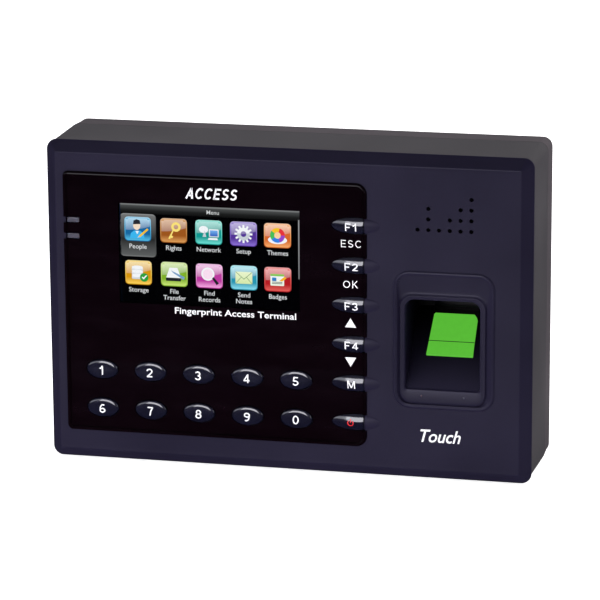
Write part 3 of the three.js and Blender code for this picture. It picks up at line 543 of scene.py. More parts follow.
def moved(tree, mesh, **change):
    """A mesh moved or turned by a Transform node."""
    titled = {key.title(): value for key, value in change.items()}
    return add_node(tree, "GeometryNodeTransform", {"Geometry": mesh, **titled}).outputs[0]


def copied(tree, start, end, mesh, material):
    """The end of a tree: one real copy of a mesh at each point, in its finish."""
    copies = add_node(tree, "GeometryNodeInstanceOnPoints",
                      {"Points": start.outputs["Geometry"], "Instance": mesh})
    real = add_node(tree, "GeometryNodeRealizeInstances", {"Geometry": copies.outputs[0]})
    painted = add_node(tree, "GeometryNodeSetMaterial",
                       {"Geometry": real.outputs[0], "Material": material})
    tree.links.new(painted.outputs[0], end.inputs[0])
    return tree


def pins_tree(material):
    """Round pins along the depth, one at each point: speaker perforations and contacts."""
    tree, start, end = node_tree("pins", (("Radius", 0.75), ("Length", 6.0)))
    pin = add_node(tree, "GeometryNodeMeshCylinder",
                   {"Vertices": 24, "Radius": start.outputs["Radius"],
                    "Depth": start.outputs["Length"]})
    turned = moved(tree, pin.outputs["Mesh"], rotation=(math.pi / 2, 0, 0))
    return copied(tree, start, end, turned, material)


SCREW = {"Head Radius": 2.8, "Head Height": 2.0, "Shank Radius": 1.4, "Length": 13.0}


def screws_tree(material):
    """Cross-head screws with the head towards +Y, one at each point."""
    tree, start, end = node_tree("screws", SCREW.items())
    radius, height = start.outputs["Head Radius"], start.outputs["Head Height"]
    head = add_node(tree, "GeometryNodeMeshCone",
                    {"Vertices": 40, "Side Segments": 1, "Radius Bottom": radius,
                     "Radius Top": node_maths(tree, "MULTIPLY", radius, 0.72), "Depth": height})
    deep = node_maths(tree, "MULTIPLY", height, 1.1)
    long = node_maths(tree, "MULTIPLY", radius, 1.25)
    wide = node_maths(tree, "MULTIPLY", radius, 0.26)
    lift = add_node(tree, "ShaderNodeCombineXYZ", {"Z": height})
    cut = head.outputs["Mesh"]
    for x, y in ((long, wide), (wide, long)):
        size = add_node(tree, "ShaderNodeCombineXYZ", {"X": x, "Y": y, "Z": deep})
        groove = add_node(tree, "GeometryNodeMeshCube", {"Size": size.outputs[0]})
        raised = moved(tree, groove.outputs["Mesh"], translation=lift.outputs[0])
        carved = add_node(tree, "GeometryNodeMeshBoolean", {"Mesh 1": cut, "Mesh 2": raised},
                          operation="DIFFERENCE", solver="EXACT")
        cut = carved.outputs["Mesh"]
    shank = add_node(tree, "GeometryNodeMeshCylinder",
                     {"Vertices": 24, "Radius": start.outputs["Shank Radius"],
                      "Depth": start.outputs["Length"]})
    half = node_maths(tree, "MULTIPLY", start.outputs["Length"], -0.499)
    drop = add_node(tree, "ShaderNodeCombineXYZ", {"Z": half})
    sunk = moved(tree, shank.outputs["Mesh"], translation=drop.outputs[0])
    both = add_node(tree, "GeometryNodeJoinGeometry")
    for mesh in (cut, sunk):
        tree.links.new(mesh, both.inputs[0])
    turned = moved(tree, both.outputs[0], rotation=(-math.pi / 2, 0, 0))
    return copied(tree, start, end, turned, material)


# ---------------------------------------------------------------- finishes


def shader_group(name, inputs, outputs):
    """An empty shader node group: inputs are (name, socket kind, value)."""
    group = bpy.data.node_groups.new(name, "ShaderNodeTree")
    for label, kind, value in inputs:
        socket = group.interface.new_socket(label, in_out="INPUT", socket_type=kind)
        socket.default_value = value
    for label, kind in outputs:
        group.interface.new_socket(label, in_out="OUTPUT", socket_type=kind)
    return group, group.nodes.new("NodeGroupInput"), group.nodes.new("NodeGroupOutput")


FLOAT = "NodeSocketFloat"
COLOUR = "NodeSocketColor"


def mix_colour(tree, factor, first, second, blend="MIX"):
    node = tree.nodes.new("ShaderNodeMix")
    node.data_type = "RGBA"
    node.blend_type = blend
    for index, source in ((0, factor), (6, first), (7, second)):
        if isinstance(source, bpy.types.NodeSocket):
            tree.links.new(source, node.inputs[index])
        else:
            node.inputs[index].default_value = source
    return node.outputs[2]


def object_spot(tree):
    """The place on the piece, in its own coordinates."""
    return add_node(tree, "ShaderNodeTexCoord").outputs["Object"]


def ranged(tree, value, *limits):
    """A value carried from one range to another: From Min, From Max, To Min and To Max."""
    names = ("From Min", "From Max", "To Min", "To Max")
    return add_node(tree, "ShaderNodeMapRange",
                    {"Value": value, **dict(zip(names, limits))}).outputs[0]


def scaled(tree, tone, amount):
    """A colour made lighter or darker by an amount."""
    return add_node(tree, "ShaderNodeVectorMath", {0: tone, "Scale": amount},
                    operation="SCALE").outputs[0]


def put_out(group, end, **results):
    for name, result in results.items():
        group.links.new(result, end.inputs[name.title()])
    return group


def moulded_grain():
    """Fine spark-eroded mould grain, with a slow drift of tone and of roughness."""
    group, start, end = shader_group(
        "moulded_grain",
        (("Colour", COLOUR, (0.1, 0.1, 0.1, 1)), ("Roughness", FLOAT, 0.5),
         ("Grain Scale", FLOAT, 3000.0), ("Drift", FLOAT, 0.15)),
        (("Colour", COLOUR), ("Roughness", FLOAT), ("Height", FLOAT)))
    spot = object_spot(group)
    scale = start.outputs["Grain Scale"]
    fine = add_node(group, "ShaderNodeTexNoise",
                    {"Vector": spot, "Scale": scale, "Detail": 3.0, "Roughness": 0.6})
    pits = add_node(group, "ShaderNodeTexVoronoi", {"Vector": spot, "Scale": scale})
    slow = add_node(group, "ShaderNodeTexNoise", {"Vector": spot, "Scale": 28.0, "Detail": 2.0})
    swing = ranged(group, slow.outputs["Fac"], 0.3, 0.7, -1.0, 1.0)
    drift = node_maths(group, "MULTIPLY", swing, start.outputs["Drift"])
    speck = ranged(group, fine.outputs["Fac"], 0.25, 0.75, 0.9, 1.1)
    tone = node_maths(group, "ADD", speck, drift)
    return put_out(
        group, end, colour=scaled(group, start.outputs["Colour"], tone),
        roughness=node_maths(group, "MULTIPLY_ADD", drift, 0.35, start.outputs["Roughness"]),
        height=node_maths(group, "ADD", fine.outputs["Fac"], pits.outputs["Distance"]))


def handling_marks():
    """Faint wipe marks and dust on a gloss surface, as a roughness and a mask."""
    group, start, end = shader_group(
        "handling_marks",
        (("Roughness", FLOAT, 0.05), ("Amount", FLOAT, 0.06)),
        (("Roughness", FLOAT), ("Mask", FLOAT)))
    stretched = add_node(group, "ShaderNodeMapping",
                         {"Vector": object_spot(group), "Rotation": (0.0, 0.5, 0.0),
                          "Scale": (1.0, 1.0, 3.5)})
    wipe = add_node(group, "ShaderNodeTexNoise",
                    {"Vector": stretched.outputs[0], "Scale": 40.0, "Detail": 4.0,
                     "Roughness": 0.65})
    mask = ranged(group, wipe.outputs["Fac"], 0.45, 0.75)
    rough = node_maths(group, "MULTIPLY_ADD", mask, start.outputs["Amount"],
                       start.outputs["Roughness"])
    return put_out(group, end, mask=mask, roughness=rough)


def drawn_metal():
    """Rolling lines along X, for sheet steel and turned parts."""
    group, start, end = shader_group(
        "drawn_metal",
        (("Colour", COLOUR, (0.5, 0.5, 0.5, 1)), ("Roughness", FLOAT, 0.35),
         ("Line Scale", FLOAT, 900.0)),
        (("Colour", COLOUR), ("Roughness", FLOAT), ("Height", FLOAT)))
    spot = object_spot(group)
    stretched = add_node(group, "ShaderNodeMapping", {"Vector": spot, "Scale": (0.03, 1.0, 1.0)})
    lines = add_node(group, "ShaderNodeTexNoise",
                     {"Vector": stretched.outputs[0], "Scale": start.outputs["Line Scale"],
                      "Detail": 3.0}).outputs["Fac"]
    spangle = add_node(group, "ShaderNodeTexVoronoi", {"Vector": spot, "Scale": 160.0})
    tone = ranged(group, spangle.outputs["Distance"], 0.0, 1.0, 0.88, 1.06)
    rough = node_maths(group, "MULTIPLY_ADD", lines, 0.18, start.outputs["Roughness"])
    return put_out(group, end, colour=scaled(group, start.outputs["Colour"], tone),
                   roughness=rough, height=lines)


def depth_shade():
    """A mask for painted shade: it falls from 1 at a near depth to 0 at a far one, along Y."""
    group, start, end = shader_group(
        "depth_shade", (("Near", FLOAT, 0.0), ("Far", FLOAT, 1.0)), (("Mask", FLOAT),))
    parts = add_node(group, "ShaderNodeSeparateXYZ", {"Vector": object_spot(group)})
    fall = ranged(group, parts.outputs["Y"], start.outputs["Near"], start.outputs["Far"],
                  1.0, 0.0)
    return put_out(group, end, mask=node_maths(group, "POWER", fall, 1.5))


GROUPS = {}
FINISHES = {}


def group_named(name):
    if name not in GROUPS:
        makers = {"moulded_grain": moulded_grain, "handling_marks": handling_marks,
                  "drawn_metal": drawn_metal, "depth_shade": depth_shade}
        GROUPS[name] = makers[name]()
    return GROUPS[name]


def use_group(material, name, values):
    node = material.node_tree.nodes.new("ShaderNodeGroup")
    node.node_tree = group_named(name)
    for key, value in values.items():
        node.inputs[key].default_value = value
    return node


SOCKETS = {
    "metallic": "Metallic", "roughness": "Roughness", "ior": "IOR",
    "specular_ior_level": "Specular IOR Level", "coat_weight": "Coat Weight",
    "coat_roughness": "Coat Roughness", "subsurface_weight": "Subsurface Weight",
    "subsurface_scale": "Subsurface Scale", "transmission_weight": "Transmission Weight",
    "emission_color": "Emission Color", "emission_strength": "Emission Strength",
}


def blank(name, rgb, settings):
    """A material and its Principled node, with plain values set on the node's own sockets."""
    material = bpy.data.materials.new(name)
    material.use_nodes = True
    material.diffuse_color = (*rgb, 1)
    shader = material.node_tree.nodes["Principled BSDF"]
    shader.inputs["Base Color"].default_value = (*rgb, 1)
    for key, value in settings.items():
        shader.inputs[SOCKETS[key]].default_value = value
    return material, shader


def feed(material, shader, group, depth=0.0):
    """Leads a group's outputs to the shader, its height by a bump of a depth in metres."""
    links = material.node_tree.links
    for output, name in (("Colour", "Base Color"), ("Roughness", "Roughness")):
        if output in group.outputs:
            links.new(group.outputs[output], shader.inputs[name])
    if depth:
        node = add_node(material.node_tree, "ShaderNodeBump",
                        {"Height": group.outputs["Height"], "Distance": depth, "Strength": 1.0})
        links.new(node.outputs[0], shader.inputs["Normal"])


def plastic(name, rgb, roughness, grain=3000.0, depth=6e-6, drift=0.12, **settings):
    """A moulded plastic; settings are values of the shader's own sockets."""
    material, shader = blank(name, rgb, settings)
    grained = use_group(material, "moulded_grain",
                        {"Colour": (*rgb, 1), "Roughness": roughness, "Grain Scale": grain,
                         "Drift": drift})
    feed(material, shader, grained, depth)
    return material


def metal(name, rgb, roughness, scale=900.0):
    material, shader = blank(name, rgb, {"metallic": 1.0})
    drawn = use_group(material, "drawn_metal",
                      {"Colour": (*rgb, 1), "Roughness": roughness, "Line Scale": scale})
    feed(material, shader, drawn, 3e-6)
    return material


def gloss(name, rgb, roughness, level, marks=0.05, **settings):
    """A polished plastic whose base colour lightens faintly where it has been wiped."""
    material, shader = blank(name, rgb, {"specular_ior_level": level, **settings})
    wiped = use_group(material, "handling_marks", {"Roughness": roughness, "Amount": marks})
    feed(material, shader, wiped)
    lighter = tuple(min(1.0, channel * 1.35 + 0.0006) for channel in rgb)
    tone = mix_colour(material.node_tree, wiped.outputs["Mask"], (*rgb, 1), (*lighter, 1))
    material.node_tree.links.new(tone, shader.inputs["Base Color"])
    return material


def ink(name, rgb):
    """Screen-printed ink: a little uneven in tone."""
    return plastic(name, rgb, 0.45, grain=2600.0, depth=2e-6, drift=0.05, specular_ior_level=0.3)


def lit_green():
    """Scanning glass lit from behind: it glows to the eye, and hardly lights the well."""
    rgb = colours().scan
    material, shader = blank("scanner_green", tuple(channel * 0.12 for channel in rgb),
                             {"specular_ior_level": 0.25})
    tree = material.node_tree
    grained = use_group(material, "moulded_grain",
                        {"Colour": (*rgb, 1), "Roughness": 0.2, "Grain Scale": 500.0,
                         "Drift": 0.03})
    soft = mix_colour(tree, 0.35, (*rgb, 1), grained.outputs["Colour"])
    seen = add_node(tree, "ShaderNodeLightPath").outputs["Is Camera Ray"]
    for result, name in ((soft, "Emission Color"), (grained.outputs["Roughness"], "Roughness"),
                         (ranged(tree, seen, 0.0, 1.0, 0.04, 0.97), "Emission Strength")):
        tree.links.new(result, shader.inputs[name])
    return material


def shaded_navy():
    """The cover's navy with painted shade: darker with depth, going to soft black down in the
    finger well.
    """
    rgb = colours().navy
    material = plastic("navy_plastic_well_painted_shade", rgb, 0.34, specular_ior_level=0.1)
    tree = material.node_tree
    shader = tree.nodes["Principled BSDF"]
    tone = shader.inputs["Base Color"].links[0].from_socket
    shade = use_group(material, "depth_shade",
                      {"Near": ORIGIN.y + 2.5 * MM, "Far": ORIGIN.y + 23.0 * MM})
    # painted shade: the base colour is mixed towards near black deeper in the well, where shade
    # falls
    black = tuple(channel * 0.02 for channel in rgb)
    dark = mix_colour(tree, shade.outputs["Mask"], (*black, 1), tone)
    tree.links.new(dark, shader.inputs["Base Color"])
    return material


def picture_glow():
    """The display's picture: its colours are kept on the mesh."""
    glow = bpy.context.scene.terminal_sizes.screen_glow
    material, shader = blank("screen_picture", (0.0, 0.0, 0.0), {
        "roughness": 0.4, "specular_ior_level": 0.0, "emission_strength": glow})
    tree = material.node_tree
    kept = add_node(tree, "ShaderNodeAttribute", attribute_name="picture")
    rows = add_node(tree, "ShaderNodeTexNoise",
                    {"Vector": object_spot(tree), "Scale": 6000.0, "Detail": 1.0})
    flicker = ranged(tree, rows.outputs["Fac"], 0.0, 1.0, 0.95, 1.05)
    tree.links.new(scaled(tree, kept.outputs["Color"], flicker), shader.inputs["Emission Color"])
    return material


def clear_glass():
    """The clear window in the lens, in front of the display."""
    material, shader = blank("lens_window", (0.98, 0.99, 1.0), {
        "ior": 1.12, "transmission_weight": 1.0, "specular_ior_level": 0.3})
    feed(material, shader,
         use_group(material, "handling_marks", {"Roughness": 0.0, "Amount": 0.004}))
    return material


def board_green():
    """Solder mask over traces, with a faint pattern of copper under it."""
    rgb = colours().board
    material, shader = blank("board_green", rgb, {})
    tree = material.node_tree
    turned = add_node(tree, "ShaderNodeMapping",
                      {"Vector": object_spot(tree), "Rotation": (math.pi / 2, 0, 0)})
    traces = add_node(tree, "ShaderNodeTexBrick",
                      {"Vector": turned.outputs[0], "Scale": 140.0,
                       "Color1": (*rgb, 1), "Color2": (*(c * 0.8 for c in rgb), 1),
                       "Mortar": (*(c * 1.6 for c in rgb), 1), "Mortar Size": 0.012})
    grained = use_group(material, "moulded_grain",
                        {"Roughness": 0.35, "Grain Scale": 900.0, "Drift": 0.2})
    tree.links.new(traces.outputs["Color"], grained.inputs["Colour"])
    feed(material, shader, grained)
    raised = add_node(tree, "ShaderNodeBump",
                      {"Height": traces.outputs["Fac"], "Distance": 1e-5, "Strength": 1.0})
    tree.links.new(raised.outputs[0], shader.inputs["Normal"])
    return material


def finish(name):
    """A finish by name, made the first time that it is asked for."""
    if name in FINISHES:
        return FINISHES[name]
    tint = colours()
    shell = {"grain": 2600.0, "depth": 8e-6, "specular_ior_level": 0.35}
    makers = {
        "navy": lambda: plastic("navy_plastic", tint.navy, 0.36, specular_ior_level=0.07),
        "grey": lambda: plastic("grey_plastic", tint.grey, 0.6, **shell),
        "rear": lambda: plastic("grey_plastic_rear", tint.rear, 0.6, **shell),
        # deep: the reader's navy, with painted shade down in the finger well
        "deep": shaded_navy,
        "lens": lambda: gloss("lens_black", tint.lens, 0.04, 0.08),
        "window": clear_glass,
        "key": lambda: gloss("key_black", tint.key, 0.12, 0.55, marks=0.04, coat_weight=0.6,
                             coat_roughness=0.06),
        "legend": lambda: ink("legend_white", tint.legend),
        "power": lambda: ink("power_red", tint.power),
        "pipe": lambda: plastic("frosted_pipe", tint.pipe, 0.32, grain=1500.0,
                                subsurface_weight=0.2, subsurface_scale=0.001),
        "scan": lit_green,
        "scan_line": lambda: plastic("scanner_line", linear(24, 52, 22), 0.4),
        "picture": picture_glow,
        "board": board_green,
        "steel": lambda: metal("plain_steel", tint.steel, 0.3),
        "screw": lambda: metal("screw_steel", linear(120, 122, 126), 0.28, scale=2500.0),
        "speaker": lambda: metal("speaker_metal", linear(70, 72, 76), 0.4),
        "gold": lambda: metal("gold_contact", linear(212, 170, 84), 0.18, scale=3000.0),
        "black": lambda: plastic("black_plastic", linear(22, 22, 26), 0.45),
        "green": lambda: plastic("green_plastic", linear(48, 140, 80), 0.4),
        "rubber": lambda: plastic("silicone_grey", linear(88, 92, 96), 0.75, grain=1500.0),
        "wrap": lambda: plastic("battery_wrap", linear(56, 84, 128), 0.3, grain=400.0,
                                depth=2e-5),
        "ribbon": lambda: plastic("flat_cable", linear(176, 124, 52), 0.35, grain=1800.0),
        "foam": lambda: plastic("speaker_foam", linear(20, 20, 22), 0.95, grain=1200.0,
                                depth=8e-5, drift=0.3),
        "panel": lambda: gloss("display_panel", linear(4, 4, 6), 0.1, 0.1),
    }
    FINISHES[name] = makers[name]()
    return FINISHES[name]


def recoat(nodes, name):
    """Gives CAD nodes a finish through their objects' own slots."""
    for node in nodes:
        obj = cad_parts[node]
        for material_slot in obj.material_slots:
            material_slot.link = "OBJECT"
            material_slot.material = finish(name)


# ---------------------------------------------------------------- sizes shared by pieces

_, FACE_HIGH = box_mm("front_cover")
LENS_LOW, LENS_HIGH = box_mm("lens_panel")
HOUSING_LOW, HOUSING_HIGH = box_mm("main_housing")
_, REAR_HIGH = box_mm("rear_cover")
READER_LOW, READER_HIGH = box_mm("reader_bezel")
DISPLAY_LOW, DISPLAY_HIGH = box_mm("display_module")
PLATE_LOW, PLATE_HIGH = box_mm("wall_plate")

CORNERS = [(x, z) for x in (-1, 1) for z in (-1, 1)]
SCREW_NODES = ["case_screw_%d" % number for number in range(1, 5)]
PIPE_NODES = ("light_pipe_upper", "light_pipe_lower")
PORT_NODES = ("network_jack", "usb_socket", "power_jack")

PANEL = 3.5  # thickness of the cover's panel
FUNCTION_KEY_HALF = 8.7  # half a whole function key; the lens's edge cuts off the rest of it
PIPE_COLLAR = 0.9  # how far a light pipe's foot is wider than its face
SLIP = 0.25  # play round a piece in the cover
ROOM = 0.3  # play round a socket, and round the wall plate
CASE_WALL = 2.4
MOULD_EDGE = 0.22  # rounding of the housing's and the rear cover's parting edges
MOULD_STEP = 0.07  # the middle of that rounding
PLATE_THICK = 1.5
PLATE_COLUMNS = (-42, 42)  # keyholes for the wall screws stand in these columns and rows
PLATE_ROWS = (18, -34)
PLATE_HOLES = [(x, z) for x in PLATE_COLUMNS for z in PLATE_ROWS]
PLATE_HOOKS = [(x, z) for x in (-60, 60) for z in (-25, 25)]
CABLE_OPENING = (-25, 25, -25, 9)
LENS_RECESS = 1.8
LENS_RADII = (1.0, 3.0, 3.0, 1.0)
KEY_FOOT = 1.9  # depth of the front of a key's foot
SCREEN_BORDER = 3.7
READER_FLANGE = 1.5
READER_RADIUS = 5.6
READER_X = (READER_LOW.x + READER_HIGH.x) / 2
WELL_FROM_BOTTOM = 6.6
LIP_DEPTH = 1.8
RAMP_RISE = 24.5
RAMP_DEPTH = 23.2
RAMP_ANGLE = math.atan2(RAMP_DEPTH, RAMP_RISE)
SPEAKER_ROWS = ((5,), (1, 4, 5), (1, 3, 4, 5), (0, 1, 2, 3, 4, 5))


def key_shape(node):
    """Centre, half width and half height of a key's dome, from its node's foot."""
    low, high = box_mm(node)
    border = size_mm("key_run") + size_mm("key_flange")
    half_height = (high.z - low.z) / 2 - border
    if node in NUMBER_KEYS:
        half_width = (high.x - low.x) / 2 - border
    else:
        half_width = FUNCTION_KEY_HALF
    x = low.x + border + half_width
    return x, (low.z + high.z) / 2, half_width, half_height


def crown(share, rise):
    """Height of a dome at a share of the way from its middle to its edge."""
    if rise > size_mm("number_rise"):
        return rise * max(0.0, 1 - share ** 1.5) ** 0.85
    return rise * max(0.0, 1 - share ** 6.0) ** 0.5


def dome(x, z, half_width, half_height, rise, back, foot=None, rings=16):
    """An elliptical dome on a straight shank, with a wider foot if one is given."""
    def ring(share, depth, border=0.0):
        return ellipse_outline(x, z, half_width * share + border,
                               half_height * share + border), depth

    shares = [math.sin(math.pi / 2 * step / rings) for step in range(1, rings + 1)]
    sections = [ring(share, -crown(share, rise)) for share in shares]
    if foot:
        start, border = foot
        sections += [ring(1.0, start), ring(1.0, start, border), ring(1.0, back, border)]
    else:
        sections.append(ring(1.0, back))
    return loft(sections)


def middle_of(node, axes="xz"):
    """The middle of a node's box on some axes."""
    low, high = box_mm(node)
    return [(getattr(low, axis) + getattr(high, axis)) / 2 for axis in axes]


def through(target, outline, y0, y1):
    """Cuts an opening of one outline between two depths."""
    return combine(target, straight(outline, y0, y1))


# ---------------------------------------------------------------- pieces


class TERMINAL_OT_front_cover(bpy.types.Operator):
    """Bevelled front cover, with its lens recess, key swells and speaker perforations"""

    bl_idname = "terminal.front_cover"
    bl_label = "Front Cover"

    def execute(self, context):
        bevel = size_mm("bevel_width")
        deep = size_mm("bevel_depth")
        corner = size_mm("corner_radius")
        x1 = FACE_HIGH.x
        z1 = FACE_HIGH.z

        def ring(inset, y):
            radius = max(0.3, corner - (corner - 0.6) * inset / bevel)
            return rounded_outline(-x1 + inset, x1 - inset, -z1 + inset, z1 - inset, radius), y

        profile = fillet([(bevel + 1.5, 0.0), (bevel, 0.0), (0.0, deep), (2.7, deep)],
                         [size_mm("edge_radius"), 0.25], 6)
        rings = [ring(inset, y) for inset, y in profile]
        for inset, y in ((2.7, deep + 3), (4.3, deep + 3), (4.3, PANEL)):
            rings.append(ring(inset, y))
        cover = loft(rings, "front_cover")

        grow = size_mm("seam")
        recess = rounded_outline(LENS_LOW.x - grow, LENS_HIGH.x + grow, LENS_LOW.z - grow,
                                 LENS_HIGH.z + grow, [r + grow for r in LENS_RADII])
        through(cover, recess, -2, LENS_RECESS)
        below = (0, PANEL + 1)
        combine(cover, box_solid(DISPLAY_LOW.x - ROOM, DISPLAY_HIGH.x + ROOM, *below,
                                 DISPLAY_LOW.z - ROOM, DISPLAY_HIGH.z + ROOM))
        first, last = box_mm("key_1"), box_mm("key_0")
        room = 2 * ROOM
        combine(cover, box_solid(first[0].x - room, last[1].x + room, *below,
                                 last[0].z - room, first[1].z + room))
        first, last = box_mm("key_f1"), box_mm("key_power")
        combine(cover, box_solid(last[0].x - room, LENS_HIGH.x + grow, *below,
                                 last[0].z - room, first[1].z + room))
        for node in PIPE_NODES:
            a, b = box_mm(node)
            inset = PIPE_COLLAR - SLIP
            combine(cover, box_solid(a.x + inset, b.x - inset, *below, a.z + inset, b.z - inset))
        edge = READER_FLANGE - SLIP
        seam = rounded_outline(READER_LOW.x + edge, READER_HIGH.x - edge, READER_LOW.z + edge,
                               READER_HIGH.z - edge, READER_RADIUS + SLIP, 14)
        through(cover, seam, -2, PANEL + 1)

        pitch = size_mm("hole_pitch")
        right = x1 - 21.1
        upper = z1 - 14.4
        spots = [(right - (5 - column) * pitch, PANEL / 2, upper - row * pitch)
                 for row, columns in enumerate(SPEAKER_ROWS) for column in columns]
        punches = scatter("speaker_perforations", pins_tree(finish("navy")), spots,
                          {"Radius": size_mm("hole_radius"), "Length": 2.0 * PANEL})
        combine(cover, punches)

        for node in FUNCTION_KEYS:
            x, z, half_width, half_height = key_shape(node)
            swell = dome(x, z, half_width, half_height, size_mm("function_rise"), 0.6)
            keep = box_solid(LENS_HIGH.x + grow, x + 20, -5, 5, z - 9, z + 9)
            combine(swell, keep, "INTERSECT")
            combine(cover, swell, "UNION")
        for a, b in CORNERS:
            boss = bar_solid(3.5, PANEL - 0.5, REAR_HIGH.y - 7.4, a * (x1 - 9), b * (z1 - 9))
            combine(cover, boss, "UNION")
        soften(cover, size_mm("soft_edge"), 2, 55)
        coat(cover, finish("navy"))
        place(cover, "front_cover_shell", "terminal", ["front_cover"])
        return {"FINISHED"}


class TERMINAL_OT_lens(bpy.types.Operator):
    """Gloss lens with a clear window over the display, and the printing on it"""

    bl_idname = "terminal.lens"
    bl_label = "Lens Panel"

    def execute(self, context):
        run = size_mm("key_run")

        def ring(inset, y):
            radii = [max(0.2, r - inset) for r in LENS_RADII]
            return rounded_outline(LENS_LOW.x + inset, LENS_HIGH.x - inset, LENS_LOW.z + inset,
                                   LENS_HIGH.z - inset, radii), y

        thick = LENS_HIGH.y
        profile = fillet([(0.6, 0.0), (0.0, 0.0), (0.0, 1.0)], [0.03], 4)
        lens = loft([ring(inset, y) for inset, y in profile] + [ring(0.0, thick)], "lens")
        for node in NUMBER_KEYS + FUNCTION_KEYS:
            x, z, half_width, half_height = key_shape(node)
            hole = ellipse_outline(x, z, half_width + run, half_height + run)
            through(lens, hole, -1, thick + 1)
        inset = PIPE_COLLAR - run
        for node in PIPE_NODES:
            a, b = box_mm(node)
            combine(lens, box_solid(LENS_LOW.x - 1, b.x - inset, -1, thick + 1, a.z + inset,
                                    b.z - inset))
        soften(lens, 0.1, 2, 60)

        window = (DISPLAY_LOW.x + SCREEN_BORDER, DISPLAY_HIGH.x - SCREEN_BORDER,
                  DISPLAY_LOW.z + SCREEN_BORDER, DISPLAY_HIGH.z - SCREEN_BORDER)
        with edited(lens) as bm:
            for axis, limits in ((0, window[:2]), (2, window[2:])):
                for limit in limits:
                    point, normal = Vector(), Vector()
                    point[axis], normal[axis] = limit, 1
                    slice_mesh(bm, point, normal)
            for face in bm.faces:
                middle = face.calc_center_median()
                inside = window[0] < middle.x < window[1] and window[2] < middle.z < window[3]
                face.material_index = 1 if inside and abs(face.normal.y) > 0.9 else 0
        coat(lens, finish("lens"), finish("window"))
        place(lens, "lens_gloss_panel", "terminal", ["lens_panel"])

        words = [
            lettering("ESC", 23.9, 26.3, 2.75, 0.105),
            lettering("OK", 23.7, 11.6, 2.75, 0.105),
            lettering("ACCESS", -26.5, 42.0, 4.0, 0.165, shear=0.25, wide=0.95),
            text_solid("Fingerprint Access Terminal", -18.4, -1.2, 2.3, 44.6, bold=0.01),
            straight([(21.7, -4.1), (25.7, -4.1), (23.7, -0.7)], -PRINT_DEPTH, PRINT_DEPTH),
            straight([(21.7, -15.1), (23.7, -18.5), (25.7, -15.1)], -PRINT_DEPTH, PRINT_DEPTH),
        ]
        printing = coat(merge(*words), finish("legend"))
        place(printing, "lens_printing", "terminal", weighted=False)

        mark = text_solid("Touch", 56.3, -42.3, 4.6, 14.6, shear=0.3, bold=0.012)
        coat(mark, finish("legend"))
        place(mark, "cover_printing", "terminal", weighted=False)
        return {"FINISHED"}


class TERMINAL_OT_keys(bpy.types.Operator):
    """Ten number keys and six function keys, domed and printed"""

    bl_idname = "terminal.keys"
    bl_label = "Keys"

    def execute(self, context):
        border = size_mm("key_run") + size_mm("key_flange")
        back = box_mm("key_1")[1].y
        for node in NUMBER_KEYS:
            x, z, half_width, half_height = key_shape(node)
            rise = size_mm("number_rise")
            key = dome(x, z, half_width, half_height, rise, back, (KEY_FOOT, border))
            coat(key, finish("key"))
            face = self.face_of(x, z, half_width, half_height, rise)
            digit = lettering(node[-1], x - 0.1, z - 0.3, size_mm("digit_height"), surface=face)
            coat(digit, finish("legend"))
            place(merge(key, digit), "number_" + node, node, [node], sharp=40)
        legends = {"key_f1": "F1", "key_f2": "F2", "key_f3": "F3", "key_f4": "F4",
                   "key_menu": "M"}
        for node in FUNCTION_KEYS:
            x, z, half_width, half_height = key_shape(node)
            rise = size_mm("function_rise")
            key = dome(x, z, half_width, half_height, rise, back, (KEY_FOOT, border))
            combine(key, box_solid(x - 20, box_mm(node)[1].x, -5, 9, z - 9, z + 9), "INTERSECT")
            soften(key, 0.12, 2, 60)
            coat(key, finish("key"))
            face = self.face_of(x, z, half_width, half_height, rise)
            if node in legends:
                label = lettering(legends[node], x - 1.6, z - 0.4, 2.9, surface=face, wide=1.3)
                coat(label, finish("legend"))
            else:
                label = self.power_symbol(x - 1.9, z - 0.2, face)
                coat(label, finish("power"))
            place(merge(key, label), "function_" + node, node, [node], sharp=40)
        return {"FINISHED"}

    def face_of(self, x, z, half_width, half_height, rise):
        """The depth of a key's face at a place on it."""
        def depth(px, pz):
            share = math.hypot((px - x) / half_width, (pz - z) / half_height)
            return -crown(min(share, 1.0), rise)
        return depth

    def power_symbol(self, x, z, face, radius=1.0, half=0.19):
        """A broken ring with a bar at its top."""
        bm = bmesh.new()
        stroke_bars(bm, arc(x, z, radius, radius, 128, 412, 28), half, face)
        stroke_bars(bm, [(x, z + 0.1), (x, z + radius + 0.45)], half, face)
        bmesh.ops.recalc_face_normals(bm, faces=bm.faces)
        return mesh_object(bm, "power")


class TERMINAL_OT_light_pipes(bpy.types.Operator):
    """Two frosted light pipes at the lens's left edge"""

    bl_idname = "terminal.light_pipes"
    bl_label = "Light Pipes"

    def execute(self, context):
        for node in PIPE_NODES:
            a, b = box_mm(node)
            sections = [
                (rounded_outline(a.x + inset, b.x - inset, a.z + inset, b.z - inset, radius, 5), y)
                for inset, radius, y in (
                    (PIPE_COLLAR + 0.25, 0.2, -0.25), (PIPE_COLLAR + 0.08, 0.3, -0.17),
                    (PIPE_COLLAR, 0.35, 0.05), (PIPE_COLLAR, 0.35, PANEL + 0.3),
                    (0.0, 0.35, PANEL + 0.3), (0.0, 0.35, b.y))]
            pipe = loft(sections)
            coat(pipe, finish("pipe"))
            place(pipe, node + "_frosted", "terminal", [node])
        return {"FINISHED"}


